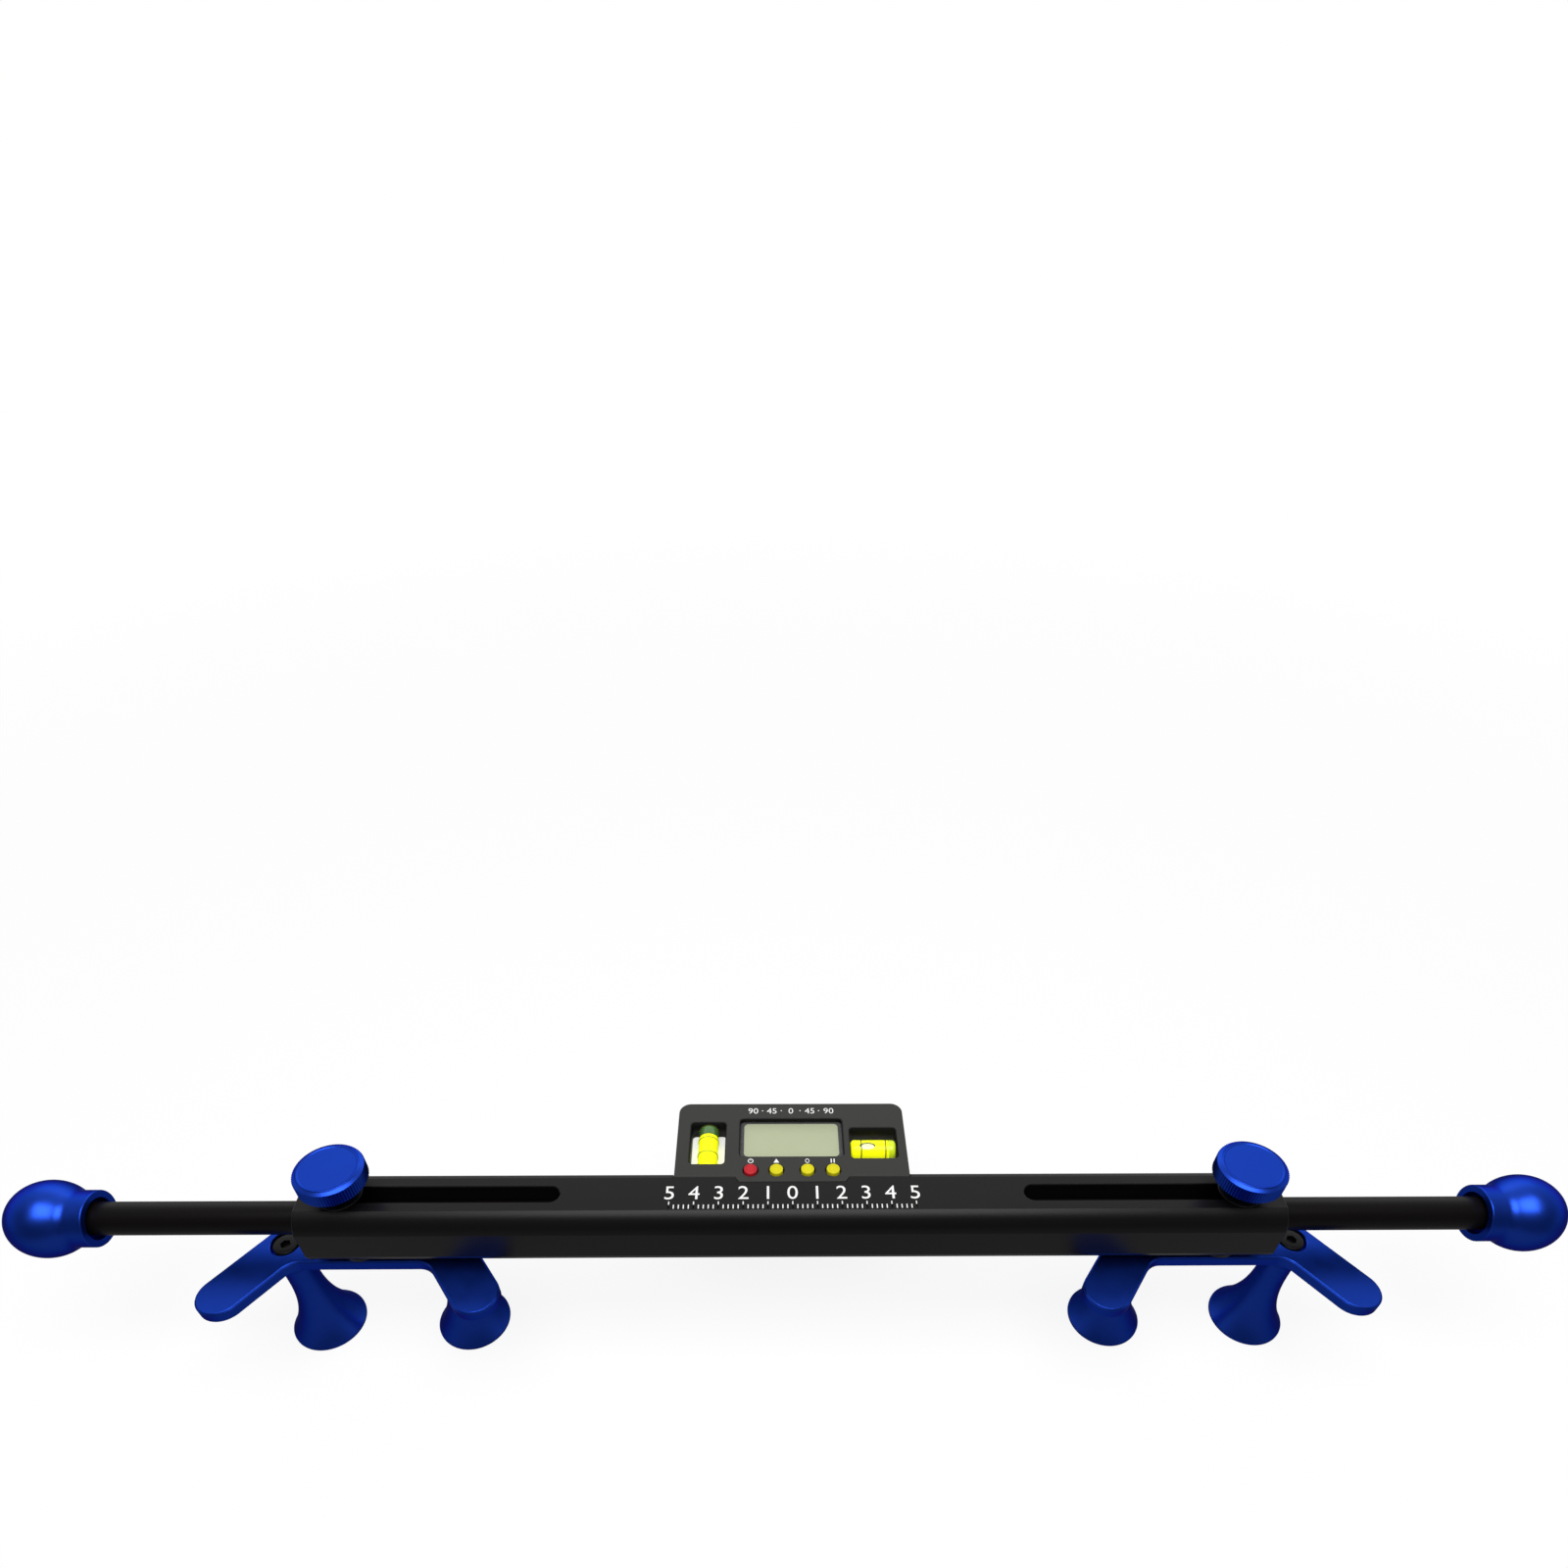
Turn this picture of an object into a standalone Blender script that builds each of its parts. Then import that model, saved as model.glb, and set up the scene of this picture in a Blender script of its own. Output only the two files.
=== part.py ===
"""Steering wheel level: a slotted rail with two telescoping rods, two swivelling brackets and a digital level.

X runs along the rail, Y points from the rail towards the digital level and Z is up, out of the rail's front.
The object rests on the mouths of its four posts at Z zero, and its origin is the bottom centre of its box.
Every size is in metres.
"""
import math

import bmesh
import bpy
from mathutils import Matrix, Vector

# Clearances
SEAT_GAP = 0.0003
RUN_CLEARANCE = 0.00008
CUT_OVERRUN = 0.001
ROUND_STEPS = 32
SMALL_STEPS = 16

# Rail: a black anodised extrusion with a bore along it and a slot in its front and rear at each end
RAIL_LENGTH = 0.400
RAIL_WIDTH = 0.030
RAIL_DEPTH = 0.030
RAIL_FLAT_WIDTH = 0.017
RAIL_SHOULDER_DEPTH = 0.008
RAIL_SHOULDER_BULGE = 0.0011
RAIL_SHOULDER_STEPS = 3
RAIL_END_CHAMFER = 0.0006
SLOT_WIDTH = 0.008
SLOT_RUN = 0.0844
SLOT_OUTER_MARGIN = 0.0006

# Telescoping rods and their turned ball handles
ROD_DIAMETER = 0.014
ROD_LEAD = 0.087
ROD_CHAMFER = 0.0008
HANDLE_STANDOFF = 0.1038
HANDLE_COLLAR_DIAMETER = 0.0238
HANDLE_COLLAR_LENGTH = 0.0058
HANDLE_COLLAR_CHAMFER = 0.0006
HANDLE_WAIST_DIAMETER = 0.0232
HANDLE_WAIST_LENGTH = 0.0022
HANDLE_RECESS_DIAMETER = 0.0176
HANDLE_RECESS_DEPTH = 0.0060
HANDLE_BALL_DIAMETER = 0.0324
HANDLE_BALL_CENTRE = 0.0199
HANDLE_END_FLAT_DIAMETER = 0.011
HANDLE_SOCKET_DEPTH = 0.018
BALL_STEPS = 9

# Clamping knobs
KNOB_END_DISTANCE = 0.017
KNOB_DIAMETER = 0.0278
KNOB_RIM_HEIGHT = 0.0065
KNOB_NECK_DIAMETER = 0.019
KNOB_NECK_HEIGHT = 0.0085
KNOB_FACE_BEVEL = 0.0012
KNOB_KNURL_DEPTH = 0.00035
KNOB_KNURL_TEETH = 36
STUD_DIAMETER = 0.006
STUD_CHAMFER = 0.0006
STUD_HEAD_DEPTH = 0.009
WASHER_DIAMETER = 0.018
WASHER_THICKNESS = 0.001

# Brackets: a C-shaped plate with two posts, turning about the knob's stud behind the rail
PLATE_THICKNESS = 0.006
PLATE_WIDTH = 0.020
PLATE_BEND_X = 0.034
PLATE_ARM_RUN = 0.018
PLATE_ARM_DROP = 0.0253
PLATE_INNER_FILLET = 0.008
PLATE_CHAMFER = 0.0006
PLATE_ARC_STEPS = 6
COUNTERBORE_DIAMETER = 0.0125
COUNTERBORE_DEPTH = 0.0036
HUB_DIAMETER = 0.020
HUB_HEIGHT = 0.0024
POST_LENGTH = 0.055
POST_MOUTH_DIAMETER = 0.0326
POST_LIP_HEIGHT = 0.0016
POST_LIP_CHAMFER = 0.0005
POST_FLARE_HEIGHT = 0.042
POST_FLARE_POWER = 2.6
POST_FLARE_PACING = 1.5
POST_FLARE_STEPS = 6
POST_NECK_DIAMETER = 0.0130
POST_COLLAR_DIAMETER = 0.0150
POST_COLLAR_HEIGHT = 0.0070
POST_SCREW_DIAMETER = 0.006
POST_SCREW_DEPTH = 0.012
POST_SCREW_HEAD_DIAMETER = 0.0105
POST_SCREW_HEAD_HEIGHT = 0.0030
POST_SCREW_SOCKET_WIDTH = 0.004
POST_SCREW_SOCKET_DEPTH = 0.0018

# Digital level case: front shell, rear shell, and a tab with the buttons that dips into the rail's front
CASE_FRONT_WIDTH = 0.0978
CASE_SIDE_DRAFT = 0.0015
CASE_FRONT_HEIGHT = 0.0422
CASE_TOP_DRAFT = 0.0038
CASE_DEPTH = 0.018
CASE_PARTING_DEPTH = 0.008
CASE_WALL = 0.0016
CASE_FRONT_WALL = 0.002
CASE_BACK_WALL = 0.0034
CASE_TOP_RADIUS = 0.005
CASE_BOTTOM_RADIUS = 0.0006
CASE_ARC_STEPS = 4
TAB_SIDE_MARGIN = 0.0012
TAB_DEPTH = 0.0024
TAB_SLANT = 0.0016
DISPLAY_SIDE_MARGIN = 0.0266
DISPLAY_BOTTOM_MARGIN = 0.0109
DISPLAY_TOP_MARGIN = 0.0091
DISPLAY_OPENING_RADIUS = 0.002
DISPLAY_WINDOW_MARGIN = 0.0010
DISPLAY_WINDOW_THICKNESS = 0.0008
LCD_SIDE_CLEARANCE = 0.00005
LCD_END_CLEARANCE = 0.00085
LCD_THICKNESS = 0.0018
BOARD_BOTTOM_RISE = 0.0026
BOARD_TOP_MARGIN = 0.0056
BOARD_THICKNESS = 0.0012

# Buttons of the digital level, on one row
BUTTON_DIAMETER = 0.0055
BUTTON_HOLE_CLEARANCE = 0.00025
BUTTON_STAND = 0.0010
BUTTON_DOME = 0.0004
BUTTON_RISE = 0.0035
BUTTON_LUG_OVERHANG = 0.0005
BUTTON_LUG_REACH = 0.0036
BUTTON_LUG_THICKNESS = 0.0007
BUTTON_STEM = 0.0005
BUTTON_TRAVEL = 0.0006
SWITCH_WIDTH = 0.0045
BUTTON_PLACE_SHARES = (("power_button", -0.368), ("unit_button", -0.139),
                       ("zero_button", 0.137), ("hold_button", 0.364))

# Bubble vials, each a clear tube with a plug and liquid, on a white backing
VIAL_DIAMETER = 0.009
VIAL_WALL = 0.0010
VIAL_PLUG_LENGTH = 0.0022
VIAL_TOP_DEPTH = 0.0005
VIAL_END_GAP = 0.0004
VIAL_BACKING_THICKNESS = 0.001
UPRIGHT_WINDOW_MARGIN = 0.00545
UPRIGHT_WINDOW_WIDTH = 0.0155
UPRIGHT_WINDOW_HEIGHT = 0.0241
UPRIGHT_WINDOW_RISE = 0.0190
LEVEL_WINDOW_MARGIN = 0.00365
LEVEL_WINDOW_WIDTH = 0.0205
LEVEL_WINDOW_HEIGHT = 0.0178
LEVEL_WINDOW_RISE = 0.0188
WINDOW_RADIUS = 0.002

# Coin cell, its contacts and the sliding cover in the back of the case
CELL_DIAMETER = 0.020
CELL_THICKNESS = 0.0032
CELL_RISE = 0.0230
CONTACT_THICKNESS = 0.0005
CONTACT_WIDTH = 0.004
CONTACT_REACH = 0.007
COVER_WIDTH = 0.0240
COVER_BOTTOM_RISE = 0.0115
COVER_TONGUE_WIDTH = 0.0264
COVER_TONGUE_THICKNESS = 0.0008
COVER_PAD_THICKNESS = 0.0015
BAY_HEIGHT = 0.0215

# Small screws of the level
CASE_SCREW_DIAMETER = 0.0020
CASE_SCREW_HEAD_DIAMETER = 0.0038
CASE_SCREW_HEAD_HEIGHT = 0.0014
CASE_SCREW_LENGTH = 0.0120
CASE_SCREW_EDGE = 0.0042
CASE_BOSS_DIAMETER = 0.0050
MOUNT_SCREW_EDGE = 0.0119
MOUNT_SCREW_DIAMETER = 0.0030
MOUNT_SCREW_HEAD_DIAMETER = 0.0055
MOUNT_SCREW_HEAD_HEIGHT = 0.0020
MOUNT_SCREW_BITE = 0.0060
MOUNT_SCREW_HEAD_DEPTH = 0.0045
MOUNT_BOSS_DIAMETER = 0.0064

# Places along the rail, from its middle, and sizes that follow from the case
KNOB_X = RAIL_LENGTH / 2 - KNOB_END_DISTANCE
SLOT_INNER_X = KNOB_X - SLOT_RUN
ROD_INNER_X = KNOB_X - ROD_LEAD
HANDLE_FACE_X = KNOB_X + HANDLE_STANDOFF
CASE_BACK_WIDTH = CASE_FRONT_WIDTH + 2 * CASE_SIDE_DRAFT
CASE_BACK_HEIGHT = CASE_FRONT_HEIGHT + CASE_TOP_DRAFT
UPRIGHT_WINDOW_X = UPRIGHT_WINDOW_MARGIN + (UPRIGHT_WINDOW_WIDTH - CASE_FRONT_WIDTH) / 2
LEVEL_WINDOW_X = (CASE_FRONT_WIDTH - LEVEL_WINDOW_WIDTH) / 2 - LEVEL_WINDOW_MARGIN
DISPLAY_OPENING_WIDTH = CASE_FRONT_WIDTH - 2 * DISPLAY_SIDE_MARGIN
LCD_WIDTH = DISPLAY_OPENING_WIDTH - 2 * LCD_SIDE_CLEARANCE
DISPLAY_OPENING_HEIGHT = CASE_FRONT_HEIGHT - DISPLAY_BOTTOM_MARGIN - DISPLAY_TOP_MARGIN
DISPLAY_OPENING_RISE = DISPLAY_BOTTOM_MARGIN + DISPLAY_OPENING_HEIGHT / 2
LCD_HEIGHT = DISPLAY_OPENING_HEIGHT - 2 * LCD_END_CLEARANCE
BOARD_HEIGHT = CASE_FRONT_HEIGHT - BOARD_BOTTOM_RISE - BOARD_TOP_MARGIN
TAB_WIDTH = DISPLAY_OPENING_WIDTH + 2 * TAB_SIDE_MARGIN
BUTTON_LUG_WIDTH = BUTTON_DIAMETER + 2 * BUTTON_LUG_OVERHANG
MOUNT_SCREW_X = CASE_FRONT_WIDTH / 2 - MOUNT_SCREW_EDGE

# Heights of the stack, from the table up
PLATE_BACK_Z = POST_LENGTH + SEAT_GAP
PLATE_FRONT_Z = PLATE_BACK_Z + PLATE_THICKNESS
HUB_BOTTOM_Z = PLATE_FRONT_Z + SEAT_GAP
RAIL_REAR_Z = HUB_BOTTOM_Z + HUB_HEIGHT + SEAT_GAP
RAIL_FRONT_Z = RAIL_REAR_Z + RAIL_DEPTH
ROD_Z = RAIL_REAR_Z + RAIL_DEPTH / 2
WASHER_BOTTOM_Z = RAIL_FRONT_Z + SEAT_GAP
KNOB_BOTTOM_Z = WASHER_BOTTOM_Z + WASHER_THICKNESS + SEAT_GAP
KNOB_HEIGHT = KNOB_NECK_HEIGHT + KNOB_RIM_HEIGHT

# Places across the rail, from its centreline
POCKET_FLOOR_Y = RAIL_FLAT_WIDTH / 2
CASE_BOTTOM_Y = POCKET_FLOOR_Y + SEAT_GAP
CASE_BACK_TOP_Y = CASE_BOTTOM_Y + CASE_BACK_HEIGHT
ARM_REACH_Y = PLATE_ARM_DROP + PLATE_WIDTH / 2
RAIL_Y = (ARM_REACH_Y - CASE_BACK_TOP_Y) / 2
CASE_BACK_Z = RAIL_FRONT_Z - CASE_DEPTH
PARTING_Z = RAIL_FRONT_Z - CASE_PARTING_DEPTH
SHELL_INSIDE_Z = RAIL_FRONT_Z - CASE_FRONT_WALL
DISPLAY_WINDOW_Z = SHELL_INSIDE_Z - SEAT_GAP - DISPLAY_WINDOW_THICKNESS
LCD_Z = DISPLAY_WINDOW_Z - SEAT_GAP - LCD_THICKNESS
BOARD_Z = LCD_Z - SEAT_GAP - BOARD_THICKNESS
BUTTON_Y = CASE_BOTTOM_Y + BUTTON_RISE
BUTTON_LUG_Z = SHELL_INSIDE_Z - SEAT_GAP - BUTTON_LUG_THICKNESS
BUTTON_FOOT_Z = BUTTON_LUG_Z - BUTTON_STEM
VIAL_Z = RAIL_FRONT_Z - VIAL_TOP_DEPTH - VIAL_DIAMETER / 2
BACKING_Z = VIAL_Z - VIAL_DIAMETER / 2 - SEAT_GAP - VIAL_BACKING_THICKNESS
CELL_Z = BOARD_Z - CONTACT_THICKNESS - 2 * SEAT_GAP - CELL_THICKNESS

FINISHES = {
    "black_anodised": ((0.012, 0.011, 0.012), 0.42, 0.6),
    "blue_anodised": ((0.012, 0.060, 0.480), 0.28, 0.9),
    "black_steel": ((0.010, 0.010, 0.011), 0.35, 0.7),
    "steel": ((0.55, 0.55, 0.56), 0.30, 1.0),
    "grey_plastic": ((0.045, 0.045, 0.043), 0.55, 0.0),
    "clear_plastic": ((0.85, 0.88, 0.88), 0.08, 0.0),
    "lcd_glass": ((0.45, 0.53, 0.34), 0.25, 0.0),
    "board_green": ((0.02, 0.16, 0.06), 0.5, 0.0),
    "red_button": ((0.55, 0.02, 0.03), 0.4, 0.0),
    "yellow_button": ((0.80, 0.60, 0.05), 0.4, 0.0),
    "vial_liquid": ((0.70, 0.88, 0.02), 0.1, 0.0),
    "white_plastic": ((0.80, 0.80, 0.78), 0.5, 0.0),
}


def clear_scene():
    """Remove every object of the open scene."""
    for found in list(bpy.data.objects):
        bpy.data.objects.remove(found, do_unlink=True)


def finish(name):
    """Return the named material, made from the finish table on first use."""
    found = bpy.data.materials.get(name)
    if found:
        return found
    colour, roughness, metallic = FINISHES[name]
    made = bpy.data.materials.new(name)
    made.use_nodes = True
    shader = made.node_tree.nodes["Principled BSDF"]
    shader.inputs["Base Color"].default_value = (*colour, 1.0)
    shader.inputs["Roughness"].default_value = roughness
    shader.inputs["Metallic"].default_value = metallic
    made.diffuse_color = (*colour, 1.0)
    return made


def add_empty(name, place, parent=None):
    """Add an empty that carries the pieces of one body."""
    made = bpy.data.objects.new(name, None)
    bpy.context.scene.collection.objects.link(made)
    made.parent = parent
    made.location = place
    return made


def add_piece(name, mesh_bm, finish_name, place=(0, 0, 0), parent=None):
    """Turn a bmesh into a named object with its material, its place and its parent."""
    bmesh.ops.recalc_face_normals(mesh_bm, faces=mesh_bm.faces)
    mesh = bpy.data.meshes.new(name)
    mesh_bm.to_mesh(mesh)
    mesh_bm.free()
    mesh.materials.append(finish(finish_name))
    mesh.shade_smooth()
    mesh.set_sharp_from_angle(angle=math.radians(32))
    made = bpy.data.objects.new(name, mesh)
    bpy.context.scene.collection.objects.link(made)
    made.location = place
    made.parent = parent
    return made


def add_cutter(name, mesh_bm, place=(0, 0, 0), parent=None):
    """Add a hidden guide solid for a Boolean."""
    made = add_piece(name, mesh_bm, "steel", place, parent)
    made.hide_render = True
    made.display_type = 'WIRE'
    return made


def apply_boolean(target, other, operation='DIFFERENCE'):
    """Cut a guide solid out of a piece, or join it on."""
    modifier = target.modifiers.new(other.name, 'BOOLEAN')
    modifier.operation = operation
    modifier.solver = 'EXACT'
    modifier.object = other


def loft(rings):
    """Return a closed solid through rings of points, capped at both ends."""
    solid = bmesh.new()
    rows = [[solid.verts.new(point) for point in ring] for ring in rings]
    count = len(rows[0])
    for row, following in zip(rows, rows[1:]):
        for index in range(count):
            after = (index + 1) % count
            solid.faces.new((row[index], row[after], following[after], following[index]))
    solid.faces.new(rows[0])
    solid.faces.new(rows[-1])
    return solid


def turned(profile, steps=ROUND_STEPS):
    """Return a solid turned about Z from (radius, height) points; a profile off the axis is a closed ring."""
    solid = bmesh.new()
    points = [solid.verts.new((radius, 0, height)) for radius, height in profile]
    edges = [solid.edges.new(pair) for pair in zip(points, points[1:])]
    if profile[0][0] > 0:
        edges.append(solid.edges.new((points[-1], points[0])))
    bmesh.ops.spin(solid, geom=points + edges, cent=(0, 0, 0), axis=(0, 0, 1), angle=math.tau,
                   steps=steps, use_merge=True, use_duplicate=False)
    bmesh.ops.remove_doubles(solid, verts=solid.verts, dist=SEAT_GAP / 100)
    return solid


def rod_solid(radius, low, high, steps=ROUND_STEPS):
    """Return a plain cylinder about Z."""
    return turned([(0, low), (radius, low), (radius, high), (0, high)], steps)


def stepped_solid(wide, narrow, low, seat, high, steps=SMALL_STEPS):
    """Return the cutter of a screw hole about Z, wide for the head up to its seat and narrow for the shank."""
    return turned([(0, low), (wide, low), (wide, seat), (narrow, seat), (narrow, high), (0, high)], steps)


def tube_solid(outer, inner, low, high, steps=ROUND_STEPS):
    """Return a plain tube about Z."""
    return turned([(inner, low), (outer, low), (outer, high), (inner, high)], steps)


def box_solid(lowest, highest):
    """Return a box between two corners."""
    solid = bmesh.new()
    middle = (Vector(lowest) + Vector(highest)) / 2
    extent = Vector(highest) - Vector(lowest)
    bmesh.ops.create_cube(solid, size=1, matrix=Matrix.Translation(middle) @ Matrix.Diagonal((*extent, 1)))
    return solid


def along_x(solid):
    """Turn a solid made about Z so that its axis lies along X."""
    bmesh.ops.rotate(solid, verts=solid.verts, cent=(0, 0, 0), matrix=Matrix.Rotation(math.pi / 2, 3, 'Y'))
    return solid


def along_y(solid):
    """Turn a solid made about Z so that its axis lies along Y."""
    bmesh.ops.rotate(solid, verts=solid.verts, cent=(0, 0, 0), matrix=Matrix.Rotation(-math.pi / 2, 3, 'X'))
    return solid


def moved(solid, offset):
    """Shift a solid by an offset."""
    bmesh.ops.translate(solid, verts=solid.verts, vec=offset)
    return solid


def merged(solids):
    """Gather separate solids into one bmesh, as a group."""
    group = bmesh.new()
    for solid in solids:
        scratch = bpy.data.meshes.new("scratch")
        solid.to_mesh(scratch)
        solid.free()
        group.from_mesh(scratch)
        bpy.data.meshes.remove(scratch)
    return group


def rounded_outline(corners, radii, steps):
    """Return a closed outline whose corners are replaced by arcs."""
    outline = []
    count = len(corners)
    for index, radius in enumerate(radii):
        corner = Vector(corners[index])
        back = (Vector(corners[index - 1]) - corner).normalized()
        ahead = (Vector(corners[(index + 1) % count]) - corner).normalized()
        half_angle = back.angle(ahead) / 2
        centre = corner + (back + ahead).normalized() * radius / math.sin(half_angle)
        start = corner + back * radius / math.tan(half_angle) - centre
        sweep = math.pi - 2 * half_angle
        if back.x * ahead.y - back.y * ahead.x > 0:
            sweep = -sweep
        for step in range(steps + 1):
            outline.append(centre + Matrix.Rotation(sweep * step / steps, 2) @ start)
    return outline


def box_outline(width, low, high, radius, steps=CASE_ARC_STEPS, middle=0):
    """Return a rectangle centred on X with four equal rounded corners."""
    corners = [(middle - width / 2, low), (middle + width / 2, low),
               (middle + width / 2, high), (middle - width / 2, high)]
    return rounded_outline(corners, [radius] * len(corners), steps)


def prism(outline, low, high):
    """Return an outline in X and Y extruded between two heights."""
    return loft([[(x, y, height) for x, y in outline] for height in (low, high)])


def rail_profile(scale=1.0):
    """Return the rail's section in Y and Z about its centre: flats, bulged shoulders and straight sides."""
    chord = Vector(((RAIL_WIDTH - RAIL_FLAT_WIDTH) / 2, -RAIL_SHOULDER_DEPTH))
    outward = Vector((-chord.y, chord.x)).normalized()
    start = Vector((RAIL_FLAT_WIDTH / 2, RAIL_DEPTH / 2))
    shoulder = []
    for step in range(RAIL_SHOULDER_STEPS + 1):
        share = step / RAIL_SHOULDER_STEPS
        shoulder.append(start + chord * share + outward * RAIL_SHOULDER_BULGE * 4 * share * (1 - share))
    front = [(y, z) for y, z in shoulder]
    section = front + [(y, -z) for y, z in reversed(front)]
    section += [(-y, -z) for y, z in front] + [(-y, z) for y, z in reversed(front)]
    return [(y * scale, z * scale) for y, z in section]


def slot_outline(side):
    """Return the round-ended slot of one rail end, along X."""
    inner = side * SLOT_INNER_X
    outer = side * (KNOB_X + SLOT_OUTER_MARGIN)
    half = SLOT_WIDTH / 2
    low, high = sorted((inner, outer))
    corners = [(low - half, -half), (high + half, -half), (high + half, half), (low - half, half)]
    return rounded_outline(corners, [half] * len(corners), PLATE_ARC_STEPS)


def case_outline(depth, inset=0.0):
    """Return the level case's outline at a depth behind its front; it grows towards the back."""
    share = depth / CASE_DEPTH
    width = CASE_FRONT_WIDTH + (CASE_BACK_WIDTH - CASE_FRONT_WIDTH) * share - 2 * inset
    height = CASE_FRONT_HEIGHT + (CASE_BACK_HEIGHT - CASE_FRONT_HEIGHT) * share
    low = CASE_BOTTOM_Y + inset
    high = CASE_BOTTOM_Y + height - inset
    corners = [(-width / 2, low), (width / 2, low), (width / 2, high), (-width / 2, high)]
    top_radius = CASE_TOP_RADIUS - inset
    radii = [CASE_BOTTOM_RADIUS, CASE_BOTTOM_RADIUS, top_radius, top_radius]
    return rounded_outline(corners, radii, CASE_ARC_STEPS)


def case_solid(near, far, inset=0.0):
    """Return a slice of the level case between two depths behind its front."""
    rings = []
    for depth in (near, far):
        height = RAIL_FRONT_Z - depth
        rings.append([(x, y, height) for x, y in case_outline(depth, inset)])
    return loft(rings)


def case_screw_places():
    """Return the names and places of the four screws that close the case."""
    across = CASE_FRONT_WIDTH / 2 - CASE_SCREW_EDGE
    low = CASE_BOTTOM_Y + CASE_SCREW_EDGE
    high = CASE_BOTTOM_Y + CASE_FRONT_HEIGHT - CASE_SCREW_EDGE
    return [(f"{row}_{side}_case_screw", x, y) for side, x in (("left", -across), ("right", across))
            for row, y in (("lower", low), ("upper", high))]


def mount_screw_places():
    """Return the names and places of the two screws that hold the case to the rail."""
    across = CASE_BOTTOM_Y + SEAT_GAP + MOUNT_BOSS_DIAMETER / 2
    return [("left_mounting_screw", -MOUNT_SCREW_X, across), ("right_mounting_screw", MOUNT_SCREW_X, across)]


def pan_screw(shank, head, head_height, length):
    """Return a small screw about Z: head from zero down, shank from zero up."""
    return turned([(0, -head_height), (head, -head_height), (head, 0), (shank, 0),
                   (shank, length), (0, length)], SMALL_STEPS)


def build_rail(root):
    """Build the rail with its bore, slots, level pocket, button notch and screw holes."""
    end_scale = 1 - 2 * RAIL_END_CHAMFER / RAIL_WIDTH
    half = RAIL_LENGTH / 2
    stations = ((-half, end_scale), (-half + RAIL_END_CHAMFER, 1.0), (half - RAIL_END_CHAMFER, 1.0),
                (half, end_scale))
    rings = [[(x, y, ROD_Z + z) for y, z in rail_profile(scale)] for x, scale in stations]
    rail = add_piece("rail_body", loft(rings), "black_anodised", parent=root)

    reach = half + CUT_OVERRUN
    bore = moved(along_x(rod_solid(ROD_DIAMETER / 2 + RUN_CLEARANCE, -reach, reach)), (0, 0, ROD_Z))
    apply_boolean(rail, add_cutter("rail_bore_cutter", bore, parent=root))
    for name, side in (("left", -1), ("right", 1)):
        slot = prism(slot_outline(side), RAIL_REAR_Z - CUT_OVERRUN, RAIL_FRONT_Z + CUT_OVERRUN)
        apply_boolean(rail, add_cutter(f"{name}_slot_cutter", slot, parent=root))

    pocket_half = CASE_BACK_WIDTH / 2 + SEAT_GAP
    pocket = box_solid((-pocket_half, POCKET_FLOOR_Y, CASE_BACK_Z - SEAT_GAP),
                       (pocket_half, RAIL_WIDTH / 2 + CUT_OVERRUN, RAIL_FRONT_Z + CUT_OVERRUN))
    apply_boolean(rail, add_cutter("level_pocket_cutter", pocket, parent=root))
    notch = prism(tab_outline(SEAT_GAP), SHELL_INSIDE_Z - SEAT_GAP, RAIL_FRONT_Z + CUT_OVERRUN)
    apply_boolean(rail, add_cutter("button_notch_cutter", notch, parent=root))

    holes = [moved(stepped_solid(MOUNT_SCREW_HEAD_DIAMETER / 2 + SEAT_GAP, MOUNT_SCREW_DIAMETER / 2 + SEAT_GAP,
                                 RAIL_REAR_Z - CUT_OVERRUN, mount_head_z(), RAIL_FRONT_Z), (x, y, 0))
             for _, x, y in mount_screw_places()]
    apply_boolean(rail, add_cutter("mount_hole_cutter", merged(holes), parent=root))


def mount_head_z():
    """Return the height at which the heads of the level's mounting screws seat in the rail."""
    return RAIL_REAR_Z + MOUNT_SCREW_HEAD_DEPTH + SEAT_GAP


def tab_outline(grow=0.0):
    """Return the outline of the button tab, or of its notch in the rail when grown by a gap."""
    top = CASE_BOTTOM_Y + CASE_WALL
    low = POCKET_FLOOR_Y - TAB_DEPTH - grow
    half = TAB_WIDTH / 2 + grow
    return [(-half + TAB_SLANT, low), (half - TAB_SLANT, low), (half, POCKET_FLOOR_Y),
            (half, top), (-half, top), (-half, POCKET_FLOOR_Y)]


def window_prism(middle, rise, width, height, radius):
    """Return the cutter of one opening in the case's front wall."""
    centre = CASE_BOTTOM_Y + rise
    outline = box_outline(width, centre - height / 2, centre + height / 2, radius, middle=middle)
    return prism(outline, SHELL_INSIDE_Z - CUT_OVERRUN, RAIL_FRONT_Z + CUT_OVERRUN)


def button_places():
    """Return each button's name and place along the rail."""
    return [(name, share * TAB_WIDTH) for name, share in BUTTON_PLACE_SHARES]


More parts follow.
